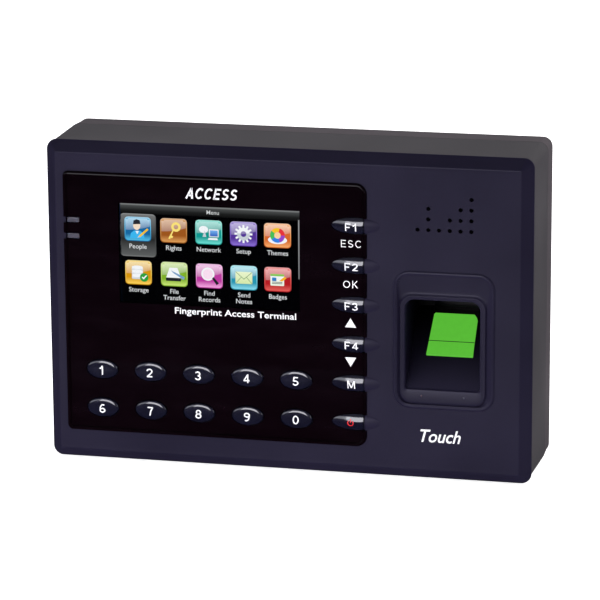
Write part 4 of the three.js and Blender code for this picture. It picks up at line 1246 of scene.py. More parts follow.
class TERMINAL_OT_reader(bpy.types.Operator):
    """Reader surround with its finger well, ramp and lit scanning window"""

    bl_idname = "terminal.reader"
    bl_label = "Reader"

    def execute(self, context):
        x0 = READER_LOW.x + READER_FLANGE
        x1 = READER_HIGH.x - READER_FLANGE
        z0 = READER_LOW.z + READER_FLANGE
        z1 = READER_HIGH.z - READER_FLANGE
        half = size_mm("well_width") / 2
        lip = z0 + WELL_FROM_BOTTOM
        top = lip + size_mm("well_height")
        steps = 12

        def seam(inset, y):
            return rounded_outline(x0 + inset, x1 - inset, z0 + inset, z1 - inset,
                                   READER_RADIUS - inset, steps), y

        def well(grow, y, upper=4.0, lower=0.8):
            return rounded_outline(
                READER_X - half - grow, READER_X + half + grow, lip - grow, top + grow,
                (lower + grow, lower + grow, upper + grow, upper + grow), steps), y

        seam_y = size_mm("seam")
        back = 27.6
        edge = fillet([(0.0, PANEL), (0.0, seam_y), (1.6, seam_y)], [0.35], 5)
        rings = [seam(inset, y) for inset, y in reversed(edge)]
        rings += [seam(0.0, PANEL + 0.3), seam(-READER_FLANGE, PANEL + 0.3),
                  seam(-READER_FLANGE, PANEL + 1.8), well(1.6, PANEL + 1.8), well(1.6, back)]
        surround = loft(rings, "reader_surround")

        bead = rounded_outline(READER_X - half - 2.3, READER_X + half + 1.3, z0 + 1.2,
                               top - 0.6, (4.4, 4.4, 4.6, 4.6), steps)
        mouth = rounded_outline(READER_X - half - 0.3, READER_X + half - 1.0, lip, top - 2.4,
                                (0.8, 0.8, 3.2, 3.2), steps)

        def between(first, second, share):
            return [(a[0] + (b[0] - a[0]) * share, a[1] + (b[1] - a[1]) * share)
                    for a, b in zip(first, second)]

        rim = seam(1.1, seam_y)[0]
        hollow_rings = [(rim, -1.0), (rim, seam_y)]
        for share, depth in ((0.25, 0.32), (0.5, 0.6), (0.72, 0.85), (0.86, 0.95), (0.94, 0.8),
                             (1.0, 0.5)):
            hollow_rings.append((between(rim, bead, share), seam_y + depth))
        for share, depth in ((0.1, 0.3), (0.22, 0.28), (0.4, 0.34), (0.8, 0.6), (0.93, 0.95),
                             (1.0, LIP_DEPTH)):
            hollow_rings.append((between(bead, mouth, share), depth + seam_y * (1 - share)))
        hollow_rings.append((mouth, 26.0))
        hollow = loft(hollow_rings)
        run_out = 40.0
        below = side_solid([(LIP_DEPTH, lip), (LIP_DEPTH + RAMP_DEPTH, lip + RAMP_RISE),
                            (run_out, lip + RAMP_RISE), (run_out, lip - run_out),
                            (LIP_DEPTH, lip - run_out)], x0 - 5, x1 + 5)
        combine(hollow, below)
        combine(surround, hollow)
        wall = 1.6
        drop = wall / math.cos(RAMP_ANGLE) * 1.6
        under = side_solid([(PANEL + 3.0, lip - drop), (run_out, lip - drop + (run_out - PANEL - 3)
                            * RAMP_RISE / RAMP_DEPTH), (run_out, lip - run_out),
                            (PANEL + 3.0, lip - run_out)], x0 - 5, x1 + 5)
        combine(surround, under)
        # two raised studs on the well's lip: their domes catch real highlights, and their lighter
        # frosted colour is partly a painted highlight
        for number, x in enumerate((READER_X - 8.1, READER_X + 7.2), 1):
            stud = loft([(ellipse_outline(x, lip - 2.4, radius, radius, 20), y)
                         for radius, y in ((0.15, 0.3), (0.3, 0.38), (0.36, 0.6), (0.36, 1.6))])
            coat(stud, finish("pipe"))
            place(stud, "reader_stud_%d" % number, "terminal")
        soften(surround, 0.22, 3, 40)
        (_, low), _, (right, _), *_, (left, _) = self.window(0.3)
        notch = [(-right - 0.3, low), (right + 0.3, low), (right, 40.0), (left, 40.0)]
        combine(surround, self.on_ramp(notch, -1.0, 9.0, lip))
        split(surround)
        coat(surround, finish("deep"))
        place(surround, "reader_surround", "terminal", ["reader_bezel"], sharp=32)

        prism = self.on_ramp(self.window(0.0), -0.25, 6.0, lip)
        soften(prism, 0.12, 2, 60)
        along = Vector((0, math.sin(RAMP_ANGLE), math.cos(RAMP_ANGLE)))
        foot = Vector((READER_X, LIP_DEPTH, lip))
        line = (19.2, 19.48)  # a dark line across the window, from and to, up the ramp
        with edited(prism) as bm:
            for reach in line:
                slice_mesh(bm, foot + along * reach, along)
            for face in bm.faces:
                reach = (face.calc_center_median() - foot).dot(along)
                face.material_index = 1 if line[0] < reach < line[1] else 0
        coat(prism, finish("scan"), finish("scan_line"))
        place(prism, "scanning_window", "terminal", ["reader_prism"], sharp=50)
        return {"FINISHED"}

    def window(self, grow):
        """The scanning window's outline, flat: a little narrower at its head, one corner cut."""
        foot, head = 8.5 + grow, 7.7 + grow
        low, high = 13.6 - grow, 30.8 + grow
        return [(-foot, low), (foot, low), (head + 0.1, high - 1.2), (head - 0.9, high),
                (-head + 0.4, high), (-head - 0.1, high - 0.5)]

    def on_ramp(self, outline, y0, y1, lip):
        """A flat solid laid on the ramp, with its foot on the well's lip."""
        made = straight(outline, y0, y1)
        turn = Matrix.Rotation(-RAMP_ANGLE, 4, "X")
        made.data.transform(Matrix.Translation((READER_X, LIP_DEPTH, lip)) @ turn)
        return made


LAYER = 0.012  # depth of one layer of the picture


class Picture:
    """Flat coloured shapes in layers, drawn in millimetres on the display."""

    def __init__(self, depth):
        self.depth = depth
        self.origin = (0.0, 0.0)  # shapes are given from here, and a tile's from its middle
        self.verts = []
        self.faces = []
        self.tones = []

    def shape(self, points, tone, layer):
        """One shape: tone is a colour, or a function of x and z that gives one."""
        start = len(self.verts)
        for x, z in points:
            self.corner(x, z, layer, tone(x, z) if callable(tone) else tone)
        self.faces.append(tuple(range(start, start + len(points))))

    def corner(self, x, z, layer, tone):
        self.verts.append((self.origin[0] + x, self.depth - LAYER * layer, self.origin[1] + z))
        self.tones.append(tone)

    def plate(self, x0, x1, z0, z1, radius, stops, layer, rows=14):
        """A rounded plate shaded from bottom to top by stops of (share, colour)."""
        levels = sorted({z0 + (z1 - z0) * row / rows for row in range(rows + 1)}
                        | {z0 + radius * s for s in (0.1, 0.35, 0.7)}
                        | {z1 - radius * s for s in (0.1, 0.35, 0.7)})

        def inset(z):
            reach = max(0.0, radius - min(z - z0, z1 - z))
            return radius - math.sqrt(max(0.0, radius ** 2 - reach ** 2))

        def tone(x, z):
            share = (z - z0) / (z1 - z0)
            for (s0, c0), (s1, c1) in zip(stops, stops[1:]):
                if share <= s1 + 1e-9:
                    f = (share - s0) / (s1 - s0)
                    return tuple(a + (b - a) * f for a, b in zip(c0, c1))
            return stops[-1][1]

        for low, high in zip(levels, levels[1:]):
            a, b = inset(low), inset(high)
            self.shape([(x0 + a, low), (x1 - a, low), (x1 - b, high), (x0 + b, high)], tone,
                       layer)

    def disc(self, x, z, radius, tone, layer, squeeze=1.0, steps=20):
        self.shape(ellipse_outline(x, z, radius, radius * squeeze, steps), tone, layer)

    def ring(self, x, z, outer, inner, tone, layer, start=0.0, turn=math.tau, steps=20):
        for step in range(steps):
            a = start + turn * step / steps
            b = start + turn * (step + 1) / steps
            self.shape([(x + r * math.cos(t), z + r * math.sin(t))
                        for r, t in ((inner, a), (outer, a), (outer, b), (inner, b))], tone,
                       layer)

    def words(self, text, x, z, height, tone, layer):
        solid = text_solid(text, x, z, height, bold=0.004)
        index = {}
        for face in solid.data.polygons:
            if face.normal.y > -0.5:
                continue
            for v in face.vertices:
                if v not in index:
                    index[v] = len(self.verts)
                    self.corner(solid.data.vertices[v].co.x, solid.data.vertices[v].co.z, layer,
                                tone)
            self.faces.append(tuple(index[v] for v in face.vertices))
        bpy.data.objects.remove(solid)

    def bar(self, x0, x1, z0, z1, tone, layer):
        """A square-cornered bar."""
        self.shape([(x0, z0), (x1, z0), (x1, z1), (x0, z1)], tone, layer)

    def build(self, name):
        mesh = bpy.data.meshes.new(name)
        mesh.from_pydata(self.verts, [], self.faces)
        kept = mesh.color_attributes.new("picture", "FLOAT_COLOR", "POINT")
        for item, tone in zip(kept.data, self.tones):
            item.color = (*tone, 1.0)
        obj = bpy.data.objects.new(name, mesh)
        bpy.context.scene.collection.objects.link(obj)
        return obj


TILE_WIDTH = 9.8
TILE_HEIGHT = 8.9
TILE_COLUMNS = (-54.55, -41.27, -28.31, -15.55, -3.12)
TILE_ROWS = (27.6, 11.6)
WHITE = linear(244, 246, 248)
PALE = linear(200, 208, 214)
DARK = linear(30, 34, 40)


def lighter(tone, share):
    """A tone brought towards white."""
    return tuple(channel + (1 - channel) * share for channel in tone)


def blend(*stops):
    """Stops of a plate's shading, from (share, red, green, blue) with colours in 0 to 255."""
    return [(share, linear(*tone)) for share, *tone in stops]


def tile(p, bottom, middle, top):
    """A rounded, shaded button with a sheen over its upper half."""
    w, h = TILE_WIDTH / 2, TILE_HEIGHT / 2
    p.plate(-w, w, -h, h, 1.3, ((0, middle), (0.5, bottom), (1, lighter(top, 0.25))), 3)
    p.plate(-w + 0.3, w - 0.3, -h + 0.3, h - 0.3, 1.05,
            ((0, bottom), (0.28, middle), (0.62, middle), (1, top)), 4)
    sheen, light = lighter(middle, 0.16), lighter(top, 0.3)
    curve = [(-w + 0.4 + (2 * w - 0.8) * s / 10, -0.4 + 1.5 * (s / 10) ** 2) for s in range(11)]
    for (ax, az), (bx, bz) in zip(curve, curve[1:]):
        high = h - 0.5 - (0.5 if ax < -w + 1.2 or bx > w - 1.2 else 0.0)
        p.shape([(ax, az), (bx, bz), (bx, high), (ax, high)],
                lambda x, z: sheen if z < 2 else light, 5)


def person(p):
    p.shape([(-2.9, -3.4), (2.5, -3.4), (2.2, -1.6), (0.9, -0.6), (-1.4, -0.6), (-2.6, -1.6)],
            linear(60, 182, 238), 6)
    p.shape([(-0.9, -0.7), (0.4, -0.7), (-0.2, -1.9)], WHITE, 7)
    p.disc(-0.35, 1.35, 1.35, linear(246, 222, 198), 7, 1.25)
    p.shape([(-1.7, 1.7), (1.05, 1.9), (0.8, 3.2), (-0.4, 3.6), (-1.5, 3.1)],
            linear(38, 40, 48), 8)
    p.shape([(0.3, -2.5), (0.9, -2.9), (4.0, -0.1), (3.5, 0.4)], linear(250, 196, 44), 9)
    p.shape([(-0.2, -3.2), (0.9, -2.9), (0.3, -2.5)], PALE, 9)


def key(p):
    gold = linear(252, 226, 120)
    p.ring(0.9, 1.4, 1.75, 0.85, gold, 6, steps=18)
    p.shape([(0.2, 0.4), (-0.4, 0.1), (-2.0, -2.9), (-1.3, -3.1)], gold, 6)
    p.shape([(-1.6, -2.4), (-1.1, -1.5), (-0.1, -2.1), (-0.6, -2.8)], gold, 7)


def network(p):
    p.disc(-1.9, 1.0, 1.7, WHITE, 6, 0.75)
    p.shape([(-2.3, -1.7), (-0.9, -1.7), (-1.5, 0.6)], PALE, 6)
    p.plate(0.1, 3.7, -1.7, 1.2, 0.3, ((0, PALE), (1, WHITE)), 7, 4)
    p.plate(0.5, 3.3, -1.3, 0.8, 0.1, blend((0, 40, 90, 190), (1, 120, 180, 240)), 8, 4)
    p.shape([(-0.4, -2.7), (3.4, -2.7), (3.1, -2.0), (0, -2.0)], WHITE, 7)


def gear(p):
    teeth = 12
    for tooth in range(teeth):
        a = math.tau * tooth / teeth
        p.shape([(r * math.cos(a + t), r * math.sin(a + t))
                 for r, t in ((1.9, -0.2), (3.3, -0.11), (3.3, 0.11), (1.9, 0.2))], WHITE, 6)
    p.ring(0, 0, 2.35, 1.05, lambda x, z: WHITE if z > 0.01 else PALE, 7)


def wheel(p):
    p.disc(0, -1.6, 3.5, WHITE, 6, 0.42)
    tones = ((232, 52, 60), (248, 196, 40), (70, 190, 90), (54, 128, 226), (150, 74, 200))
    for index, tone in enumerate(tones):
        p.ring(0, 0.1, 2.7, 1.2, linear(*tone), 7, math.tau * index / 5, math.tau / 5, 6)
    p.disc(0, 0.1, 1.15, linear(252, 210, 160), 8)


def drums(p):
    for level in (-1.7, -0.2, 1.3):
        p.plate(-2.5, 1.7, level - 0.75, level + 0.55, 0.5, ((0, PALE), (1, WHITE)), 6, 4)
        p.disc(-0.4, level + 0.65, 2.1, WHITE, 7, 0.3)
    p.disc(2.1, -1.7, 1.6, linear(44, 160, 62), 8)
    p.shape([(1.2, -1.7), (1.9, -2.5), (3.2, -1.0), (2.8, -0.8), (1.9, -1.8), (1.5, -1.4)],
            WHITE, 9)


def files(p):
    p.shape([(-3.0, -1.3), (2.6, -1.3), (1.2, 2.4), (-1.7, 2.4)], WHITE, 6)
    p.shape([(-1.2, 1.4), (3.9, -0.9), (3.5, -1.9), (-0.4, 0.5)], linear(120, 160, 200), 7)
    p.plate(-3.1, 2.5, -2.5, -1.3, 0.2, ((0, DARK), (1, DARK)), 8, 3)


def magnifier(p):
    p.disc(-0.5, 0.7, 2.0, linear(250, 222, 240), 6)
    p.ring(-0.5, 0.7, 2.45, 1.85, WHITE, 7)
    p.shape([(1.0, -0.8), (1.6, -0.3), (3.6, -2.5), (2.7, -3.2)], DARK, 8)


def envelope(p):
    p.plate(-3.1, 3.1, -2.2, 2.2, 0.3, blend((0, 214, 232, 168), (1, 236, 246, 206)), 6, 4)
    for a, b in (((-3.0, 2.1), (0.0, -0.5)), ((3.0, 2.1), (0.0, -0.5)),
                 ((-3.0, -2.1), (-0.9, 0.3)), ((3.0, -2.1), (0.9, 0.3))):
        p.shape([(a[0], a[1] - 0.14), (b[0], b[1] - 0.14), (b[0], b[1] + 0.14),
                 (a[0], a[1] + 0.14)], linear(120, 160, 110), 7)


def card(p):
    p.plate(-2.7, 2.3, -2.3, 2.0, 0.3, ((0, linear(236, 246, 226)), (1, WHITE)), 6, 4)
    p.plate(-2.7, 2.3, 1.2, 2.0, 0.2, blend((0, 120, 190, 80), (1, 150, 210, 100)), 7, 3)
    p.plate(-2.1, -0.5, -0.6, 0.7, 0.2, blend((0, 40, 110, 180), (1, 60, 140, 210)), 8, 3)
    for level in (-1.6, -1.1):
        p.bar(-2.1, 1.7, level, level + 0.22, DARK, 8)
    p.shape([(0.6, -0.4), (1.6, -0.7), (3.2, 0.6), (2.5, 1.2)], linear(250, 180, 40), 9)


TILES = (  # bottom, middle and top tone of each tile, its pictogram and its words
    ((86, 190, 230), (24, 104, 160), (128, 196, 228), person, "People"),
    ((222, 158, 88), (158, 86, 30), (214, 156, 92), key, "Rights"),
    ((108, 222, 208), (16, 150, 142), (128, 220, 206), network, "Network"),
    ((140, 112, 212), (84, 52, 150), (158, 136, 212), gear, "Setup"),
    ((248, 174, 108), (218, 104, 42), (248, 184, 128), wheel, "Themes"),
    ((252, 212, 92), (212, 148, 14), (248, 214, 112), drums, "Storage"),
    ((204, 230, 120), (128, 176, 40), (208, 230, 148), files, "File\nTransfer"),
    ((244, 166, 222), (190, 58, 160), (240, 176, 224), magnifier, "Find\nRecords"),
    ((140, 222, 236), (40, 150, 178), (162, 228, 238), envelope, "Send\nNotes"),
    ((228, 96, 90), (182, 30, 36), (236, 126, 124), card, "Badges"),
)


class TERMINAL_OT_picture(bpy.types.Operator):
    """The lit display: a title bar, ten tiles with pictograms, and their words"""

    bl_idname = "terminal.picture"
    bl_label = "Display Picture"

    def execute(self, context):
        x0, x1 = DISPLAY_LOW.x + SCREEN_BORDER, DISPLAY_HIGH.x - SCREEN_BORDER
        z0, z1 = DISPLAY_LOW.z + SCREEN_BORDER, DISPLAY_HIGH.z - SCREEN_BORDER
        p = Picture(DISPLAY_LOW.y - 0.02)
        p.bar(x0, x1, z0, z1, linear(1, 1, 2), 0)
        edge = blend((0, 2, 8, 18), (0.5, 2, 4, 8), (1, 10, 26, 48))
        p.plate(x0, x0 + 0.4, z0, z1, 0.01, edge, 1)
        title = blend((0, 14, 14, 14), (0.35, 30, 31, 31), (0.8, 72, 74, 74),
                      (0.9, 132, 134, 134), (1, 96, 98, 98))
        p.plate(x0 + 0.2, x1 - 0.1, z1 - 4.0, z1 - 0.3, 0.05, title, 1)
        p.words("Menu", (x0 + x1) / 2 + 1.2, z1 - 2.35, 1.5, linear(206, 208, 208), 2)
        z = TILE_ROWS[0]
        frame_tones = blend((0, 120, 121, 121), (0.06, 84, 86, 86), (0.5, 50, 51, 51),
                            (0.94, 104, 106, 106), (1, 146, 148, 148))
        p.plate(x0 + 0.1, x0 + 13.4, z - 10.1, z + 5.6, 1.4, frame_tones, 1, 20)
        chosen = blend((0, 92, 94, 94), (0.4, 40, 41, 41), (1, 112, 114, 114))
        p.plate(x0 + 0.55, x0 + 12.95, z - 9.65, z + 5.15, 1.1, chosen, 2, 20)
        slider = blend((0, 120, 122, 124), (1, 150, 152, 154))
        p.plate(x1 - 0.9, x1 - 0.45, z0 + 11.4, z1 - 3.6, 0.2, slider, 2)
        for index, (bottom, middle, top, pictogram, words) in enumerate(TILES):
            p.origin = (TILE_COLUMNS[index % 5], TILE_ROWS[index // 5])
            tile(p, linear(*bottom), linear(*middle), linear(*top))
            pictogram(p)
            for line, text in enumerate(words.split("\n")):
                p.words(text, 0, -6.3 - 2.35 * line, 1.7, linear(226, 228, 230), 3)
        picture = coat(p.build("display_picture"), finish("picture"))
        modifier = picture.modifiers.new("thickness", "SOLIDIFY")
        modifier.thickness = LAYER / 2
        modifier.offset = -1
        settle(picture)
        place(picture, "display_picture", "terminal", sharp=30, weighted=False)
        recoat(["display_module"], "panel")
        return {"FINISHED"}


class TERMINAL_OT_housing(bpy.types.Operator):
    """The grey housing behind the cover, with its port openings"""

    bl_idname = "terminal.housing"
    bl_label = "Housing"

    def execute(self, context):
        corner = size_mm("corner_radius")
        x0, z0 = FACE_HIGH.x, FACE_HIGH.z
        x1, z1 = HOUSING_HIGH.x, HOUSING_HIGH.z
        front, back = HOUSING_LOW.y, HOUSING_HIGH.y

        def outer(y, inset=0.0):
            share = (y - front) / (back - front)
            x = x0 + (x1 - x0) * share - inset
            z = z0 + (z1 - z0) * share - inset
            return rounded_outline(-x, x, -z, z, corner - inset), y

        edge, step = MOULD_EDGE, MOULD_STEP
        rings = [outer(front, edge), outer(front + step, step), outer(front + edge),
                 outer((front + back) / 2), outer(back - edge), outer(back - step, step),
                 outer(back, edge)]
        housing = loft(rings, "housing")
        bore_x, bore_z = x0 - CASE_WALL, z0 - CASE_WALL
        through(housing, rounded_outline(-bore_x, bore_x, -bore_z, bore_z, 1.8), front - 1,
                back + 1)
        for node in PORT_NODES:
            a, b = box_mm(node)
            combine(housing, box_solid(a.x - ROOM, b.x + ROOM, a.y - ROOM, b.y + ROOM, -z1 - 3,
                                       -bore_z + 1))
        soften(housing, 0.12, 2, 60)
        coat(housing, finish("grey"))
        place(housing, "housing_shell", "terminal", ["main_housing"])
        return {"FINISHED"}


class TERMINAL_OT_rear_cover(bpy.types.Operator):
    """The rear cover, with the recess for the wall plate and its openings"""

    bl_idname = "terminal.rear_cover"
    bl_label = "Rear Cover"

    def execute(self, context):
        corner = size_mm("corner_radius")
        x1, z1 = REAR_HIGH.x, HOUSING_HIGH.z
        front = HOUSING_HIGH.y + 2 * size_mm("seam")
        back = REAR_HIGH.y
        draft = 0.35

        def outer(y, inset=0.0):
            cut = inset + draft * (y - front) / (back - front)
            return rounded_outline(-x1 + cut, x1 - cut, -z1 + cut, z1 - cut,
                                   max(0.5, corner - inset)), y

        edge, step = MOULD_EDGE, MOULD_STEP
        rings = [outer(front, edge), outer(front + step, step), outer(front + edge)]
        rings += [outer(y, inset) for inset, y in
                  fillet([(0.0, back - 3), (0.0, back), (3.0, back)], [0.8], 6)]
        cover = loft(rings, "rear_cover")
        wall = CASE_WALL + 2
        inner = rounded_outline(-x1 + wall, x1 - wall, -z1 + wall, z1 - wall, 1.5)
        panel = back - 4.2
        through(cover, inner, front - 1, panel)
        recess = rounded_outline(PLATE_LOW.x - ROOM, PLATE_HIGH.x + ROOM, PLATE_LOW.z - ROOM,
                                 PLATE_HIGH.z + ROOM, 4.0 + ROOM)
        floor = back - 1.9
        through(cover, recess, floor, back + 1)
        x_low, x_high, z_low, z_high = CABLE_OPENING
        combine(cover, box_solid(x_low, x_high, panel - 1, back, z_low, z_high, 3.0))
        for x, z in PLATE_HOOKS:
            combine(cover, box_solid(x - 5.1, x + 5.1, panel - 1, back, z - 5.6, z + 0.9, 0.5))
        for x, z in PLATE_HOLES:
            combine(cover, box_solid(x - 5.2, x + 5.2, panel - 1, back, z - 5.2, z + 10.2, 2.0))
        combine(cover, box_solid(-8.6, 8.6, panel - 1, floor + 1, -44.2, -40.6, 0.5))
        combine(cover, bar_solid(2.2, panel - 1, back, *middle_of("tamper_plunger")))
        for node in SCREW_NODES:
            spot = middle_of(node)
            head = box_mm(node)[1].y
            combine(cover, bar_solid(3.6, panel - 2.4, panel + 1.2, *spot), "UNION")
            combine(cover, bar_solid(1.7, panel - 4, back + 1, *spot))
            combine(cover, bar_solid(3.3, head - 2.1, back + 1, *spot))
        for node in PORT_NODES:
            a, b = box_mm(node)
            if b.y > front - 1:
                combine(cover, box_solid(a.x - ROOM, b.x + ROOM, a.y - ROOM, b.y + ROOM, -z1 - 3,
                                         -z1 + CASE_WALL + 3))
        head = ellipse_outline(*middle_of("lock_screw", "xy"), 3.3, 3.3, 32)
        combine(cover, skin([[(x, y, z) for x, y in head]
                             for z in (-z1 - 3, box_mm("lock_screw")[0].z + 2.2)]))
        soften(cover, 0.14, 2, 60)
        coat(cover, finish("rear"))
        place(cover, "rear_cover_shell", "terminal", ["rear_cover"])
        return {"FINISHED"}


class TERMINAL_OT_wall_plate(bpy.types.Operator):
    """The steel wall plate with its hooks, keyholes and cable opening"""

    bl_idname = "terminal.wall_plate"
    bl_label = "Wall Plate"

    def execute(self, context):
        x1 = PLATE_HIGH.x
        z0, z1 = PLATE_LOW.z, PLATE_HIGH.z
        back = PLATE_HIGH.y
        front = back - PLATE_THICK
        plate = straight(rounded_outline(-x1, x1, z0, z1, 4.0), front, back, "wall_plate")
        x_low, x_high, z_low, z_high = CABLE_OPENING
        combine(plate, box_solid(x_low, x_high, front - 1, back + 1, z_low, z_high, 3.0, 8))
        for x in PLATE_COLUMNS:
            for z in PLATE_ROWS:
                slot = arc(x, z, 4.2, 4.2, 122, 418, 40) + arc(x, z + 7, 2.2, 2.2, 0, 180, 16)
                through(plate, slot, front - 1, back + 1)
            combine(plate, bar_solid(2.2, front - 1, back + 1, x, -4))
        for x, z in PLATE_HOOKS:
            hook = side_solid([(front - 3.9, z - 0.6), (front + 0.5, z - 0.6),
                               (front + 0.5, z + 0.6), (front - 2.7, z + 0.6),
                               (front - 2.7, z + 4.1), (front - 3.9, z + 4.1)], x - 4.5, x + 4.5)
            combine(plate, hook, "UNION")
        tab_z = z0 + 2.5
        tab = box_solid(-8, 8, front - 9, front + 0.5, tab_z, tab_z + 1.2)
        combine(plate, tab, "UNION")
        soften(plate, 0.15, 2, 55)
        coat(plate, finish("steel"))
        place(plate, "steel_wall_plate", "terminal", ["wall_plate"])
        return {"FINISHED"}


class TERMINAL_OT_screws(bpy.types.Operator):
    """Four case screws and the lock screw under the terminal"""

    bl_idname = "terminal.screws"
    bl_label = "Screws"

    def execute(self, context):
        sunk = SCREW["Head Height"] / 2
        spots = [(x, box_mm(node)[1].y - sunk, z)
                 for node in SCREW_NODES for x, z in [middle_of(node)]]
        tree = screws_tree(finish("screw"))
        screws = scatter("case_screws", tree, spots, SCREW)
        place(screws, "case_screws", "terminal", SCREW_NODES, sharp=40)
        low, high = box_mm("lock_screw")
        lock = scatter("lock_screw", tree, [(0.0, 0.0, 0.0)],
                       {**SCREW, "Length": high.z - low.z - 2 * sunk})
        upright = Matrix.Rotation(-math.pi / 2, 4, "X")
        x, y = middle_of("lock_screw", "xy")
        lock.data.transform(Matrix.Translation((x, y, low.z + sunk)) @ upright)
        place(lock, "lock_screw_steel", "terminal", ["lock_screw"], sharp=40)
        return {"FINISHED"}


class TERMINAL_OT_sockets(bpy.types.Operator):
    """Contacts in the network socket, and the finishes of the pieces inside"""

    bl_idname = "terminal.sockets"
    bl_label = "Sockets and Insides"

    def execute(self, context):
        a, b = box_mm("network_jack")
        middle = (a.x + b.x) / 2
        spots = [(middle - 3.57 + 1.02 * pin, a.y + 1.4, 0.0) for pin in range(8)]
        contacts = scatter("network_contacts", pins_tree(finish("gold")), spots,
                           {"Radius": 0.22, "Length": 9.0})
        turn = Matrix.Rotation(math.radians(78), 4, "X")
        contacts.data.transform(Matrix.Translation((0, a.y + 3.1, a.z + 8.0)) @ turn
                                @ Matrix.Translation((0, -a.y - 1.4, 0)))
        place(contacts, "network_contacts", "terminal", sharp=40)
        for name, nodes in (
                ("board", ["keypad_board", "indicator_board", "reader_board", "main_board"]),
                ("rubber", ["keypad_mat"]),
                ("steel", ["display_bracket", "clock_battery", "usb_socket"]),
                ("black", ["reader_body", "network_jack", "power_jack", "tamper_switch"]),
                ("green", ["terminal_block", "tamper_plunger"]),
                ("wrap", ["backup_battery"]),
                ("ribbon", ["display_ribbon", "keypad_ribbon", "reader_ribbon"]),
                ("foam", ["speaker_gasket"]), ("speaker", ["speaker"])):
            recoat(nodes, name)
        return {"FINISHED"}


# ---------------------------------------------------------------- stage


def softbox(name, place_at, aim, width, height, power, tint=(1, 1, 1), seen=False, lights=True):
    """A soft light; seen in reflections or not, and lighting surfaces or not."""
    light = bpy.data.lights.new(name, "AREA")
    light.shape = "RECTANGLE"
    light.size = width
    light.size_y = height
    light.energy = power
    light.color = tint
    obj = bpy.data.objects.new(name, light)
    obj.location = place_at
    obj.rotation_mode = "QUATERNION"
    obj.rotation_quaternion = (Vector(aim) - Vector(place_at)).to_track_quat("-Z", "Y")
    obj.visible_camera = False
    obj.visible_glossy = obj.visible_transmission = seen
    obj.visible_diffuse = lights
    bpy.context.scene.collection.objects.link(obj)
    return obj


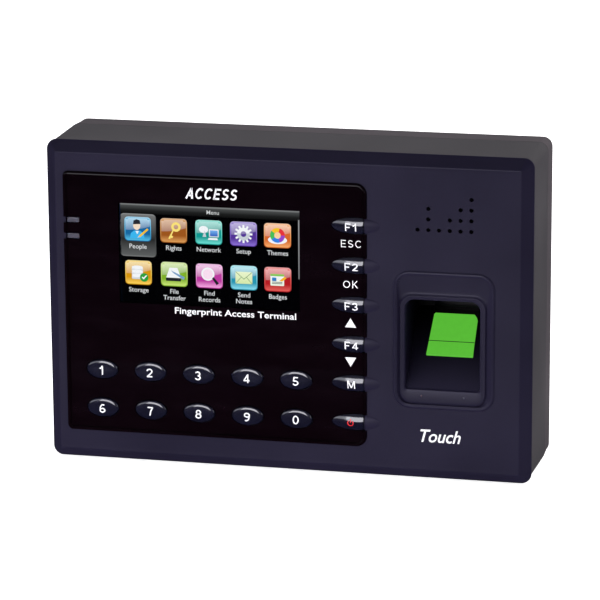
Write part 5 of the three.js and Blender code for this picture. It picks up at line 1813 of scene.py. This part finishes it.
class TERMINAL_OT_stage(bpy.types.Operator):
    """Camera, pale floor, soft studio light and colour management"""

    bl_idname = "terminal.stage"
    bl_label = "Stage"

    azimuth: bpy.props.FloatProperty(
        name="Azimuth", description="Camera's turn round the terminal",
        default=math.radians(13.384), subtype="ANGLE")
    elevation: bpy.props.FloatProperty(
        name="Elevation", description="Camera's height above the horizon",
        default=math.radians(14.0994), subtype="ANGLE")
    roll: bpy.props.FloatProperty(
        name="Roll", description="Camera's turn about its own axis",
        default=math.radians(-0.346), subtype="ANGLE")
    distance: bpy.props.FloatProperty(
        name="Distance", description="From the camera to the terminal", default=1.2024,
        unit="LENGTH")
    focal_length: bpy.props.FloatProperty(
        name="Focal Length", description="On a sensor 36 mm wide, in millimetres",
        default=202.62)

    def execute(self, context):
        scene = context.scene
        a, e = self.azimuth, self.elevation
        back = Vector((math.sin(a) * math.cos(e), -math.cos(a) * math.cos(e), math.sin(e)))
        right = Vector((math.cos(a), math.sin(a), 0.0))
        up = back.cross(right)
        cosine, sine = math.cos(self.roll), math.sin(self.roll)
        rolled_right = right * cosine + up * sine
        rolled_up = up * cosine - right * sine
        target = TO_WORLD @ Vector((4.379, 4.1, 3.923))
        data = bpy.data.cameras.new("camera")
        data.sensor_width = 36.0
        data.lens = self.focal_length
        data.clip_start = 0.05
        data.clip_end = 50.0
        camera = bpy.data.objects.new("camera", data)
        turn = Matrix((rolled_right, rolled_up, back)).transposed()
        camera.matrix_world = Matrix.Translation(target + back * self.distance) @ turn.to_4x4()
        scene.collection.objects.link(camera)
        scene.camera = camera

        self.floor()
        self.world(scene)
        centre = TO_WORLD @ Vector((0, 0, 0))
        softbox("top_box", (0.55, 0.55, 1.1), centre, 1.0, 0.8, 9.5, (1.0, 0.98, 0.97))
        softbox("front_box", (-0.4, -0.58, 1.25), centre, 0.9, 0.9, 6.0, (0.97, 0.97, 1.0))
        softbox("right_box", (1.1, 0.8, 0.4), centre, 0.8, 1.0, 12.5, (1.0, 0.98, 0.99))
        softbox("rear_box", (-0.3, 1.3, 0.9), centre, 1.2, 0.8, 6.0)
        softbox("low_box", (-0.04, -0.16, 0.006), (-0.03, -0.02, 0.035), 0.3, 0.05, 0.36)
        softbox("key_window", (-0.15, -1.22, 0.41), centre, 0.7, 0.75, 11.5,
                (0.95, 0.94, 1.0), True, False)
        softbox("left_window", (-0.9, -0.81, 0.53), centre, 1.27, 0.5, 4.6,
                (0.9, 0.92, 1.0), True, False)
        softbox("right_strip", (1.0, -0.75, 0.35), centre, 0.15, 0.5, 1.2,
                (0.92, 0.94, 1.0), True, False)
        scene.view_settings.view_transform = "Standard"
        scene.view_settings.look = "None"
        return {"FINISHED"}

    def floor(self):
        """A pale floor: white to the eye, and dimmer to what it lights."""
        outline = ellipse_outline(0, 0, 6.0, 6.0, 96)
        bm = bmesh.new()
        ground = CAD_BOX[0].z - 0.0002
        bm.faces.new([bm.verts.new((x, y, ground)) for x, y in outline])
        floor = mesh_object(bm, "floor")
        material, shader = blank("pale_floor", (0.5, 0.5, 0.5),
                                 {"roughness": 0.9, "specular_ior_level": 0.0})
        tree = material.node_tree
        path = add_node(tree, "ShaderNodeLightPath")
        unseen = mix_colour(tree, path.outputs["Is Glossy Ray"], (0.75, 0.75, 0.78, 1),
                            (0.06, 0.06, 0.075, 1))
        tone = mix_colour(tree, path.outputs["Is Camera Ray"], unseen, (0.9, 0.9, 0.9, 1))
        tree.links.new(tone, shader.inputs["Base Color"])
        bounce = mix_colour(tree, path.outputs["Is Diffuse Ray"], (0.0, 0.0, 0.0, 1),
                            (0.72, 0.7, 0.73, 1))
        glow = mix_colour(tree, path.outputs["Is Camera Ray"], bounce, (0.85, 0.85, 0.85, 1))
        tree.links.new(glow, shader.inputs["Emission Color"])
        shader.inputs["Emission Strength"].default_value = 1.0
        coat(floor, material)

    def world(self, scene):
        """White to the eye and a soft grey to the object."""
        world = bpy.data.worlds.new("studio")
        world.use_nodes = True
        tree = world.node_tree
        background = tree.nodes["Background"]
        path = add_node(tree, "ShaderNodeLightPath")
        tone = mix_colour(tree, path.outputs["Is Camera Ray"], (0.16, 0.16, 0.18, 1),
                          (1.0, 1.0, 1.0, 1))
        tree.links.new(tone, background.inputs["Color"])
        scene.world = world


# ---------------------------------------------------------------- panel and running

OPERATORS = (
    TERMINAL_OT_stage,
    TERMINAL_OT_front_cover,
    TERMINAL_OT_lens,
    TERMINAL_OT_light_pipes,
    TERMINAL_OT_keys,
    TERMINAL_OT_picture,
    TERMINAL_OT_reader,
    TERMINAL_OT_housing,
    TERMINAL_OT_rear_cover,
    TERMINAL_OT_wall_plate,
    TERMINAL_OT_screws,
    TERMINAL_OT_sockets,
)


class TERMINAL_PT_panel(bpy.types.Panel):
    """Lists the pieces in the sidebar"""

    bl_idname = "TERMINAL_PT_panel"
    bl_label = "Fingerprint Terminal"
    bl_space_type = "VIEW_3D"
    bl_region_type = "UI"
    bl_category = "Terminal"

    def draw(self, context):
        layout = self.layout
        for settings in (context.scene.terminal_sizes, context.scene.terminal_colours):
            column = layout.column(align=True)
            for name in settings.bl_rna.properties.keys():
                if name not in ("rna_type", "name"):
                    column.prop(settings, name)
        for operator in OPERATORS:
            layout.operator(operator.bl_idname)


CLASSES = (TerminalSizes, TerminalColours, *OPERATORS, TERMINAL_PT_panel)


def register():
    for cls in CLASSES:
        bpy.utils.register_class(cls)
    bpy.types.Scene.terminal_sizes = bpy.props.PointerProperty(type=TerminalSizes)
    bpy.types.Scene.terminal_colours = bpy.props.PointerProperty(type=TerminalColours)


def unregister():
    del bpy.types.Scene.terminal_colours
    del bpy.types.Scene.terminal_sizes
    for cls in reversed(CLASSES):
        bpy.utils.unregister_class(cls)


def main():
    register()
    for operator in OPERATORS:
        area, name = operator.bl_idname.split(".")
        getattr(getattr(bpy.ops, area), name)()


if __name__ == "__main__":
    main()
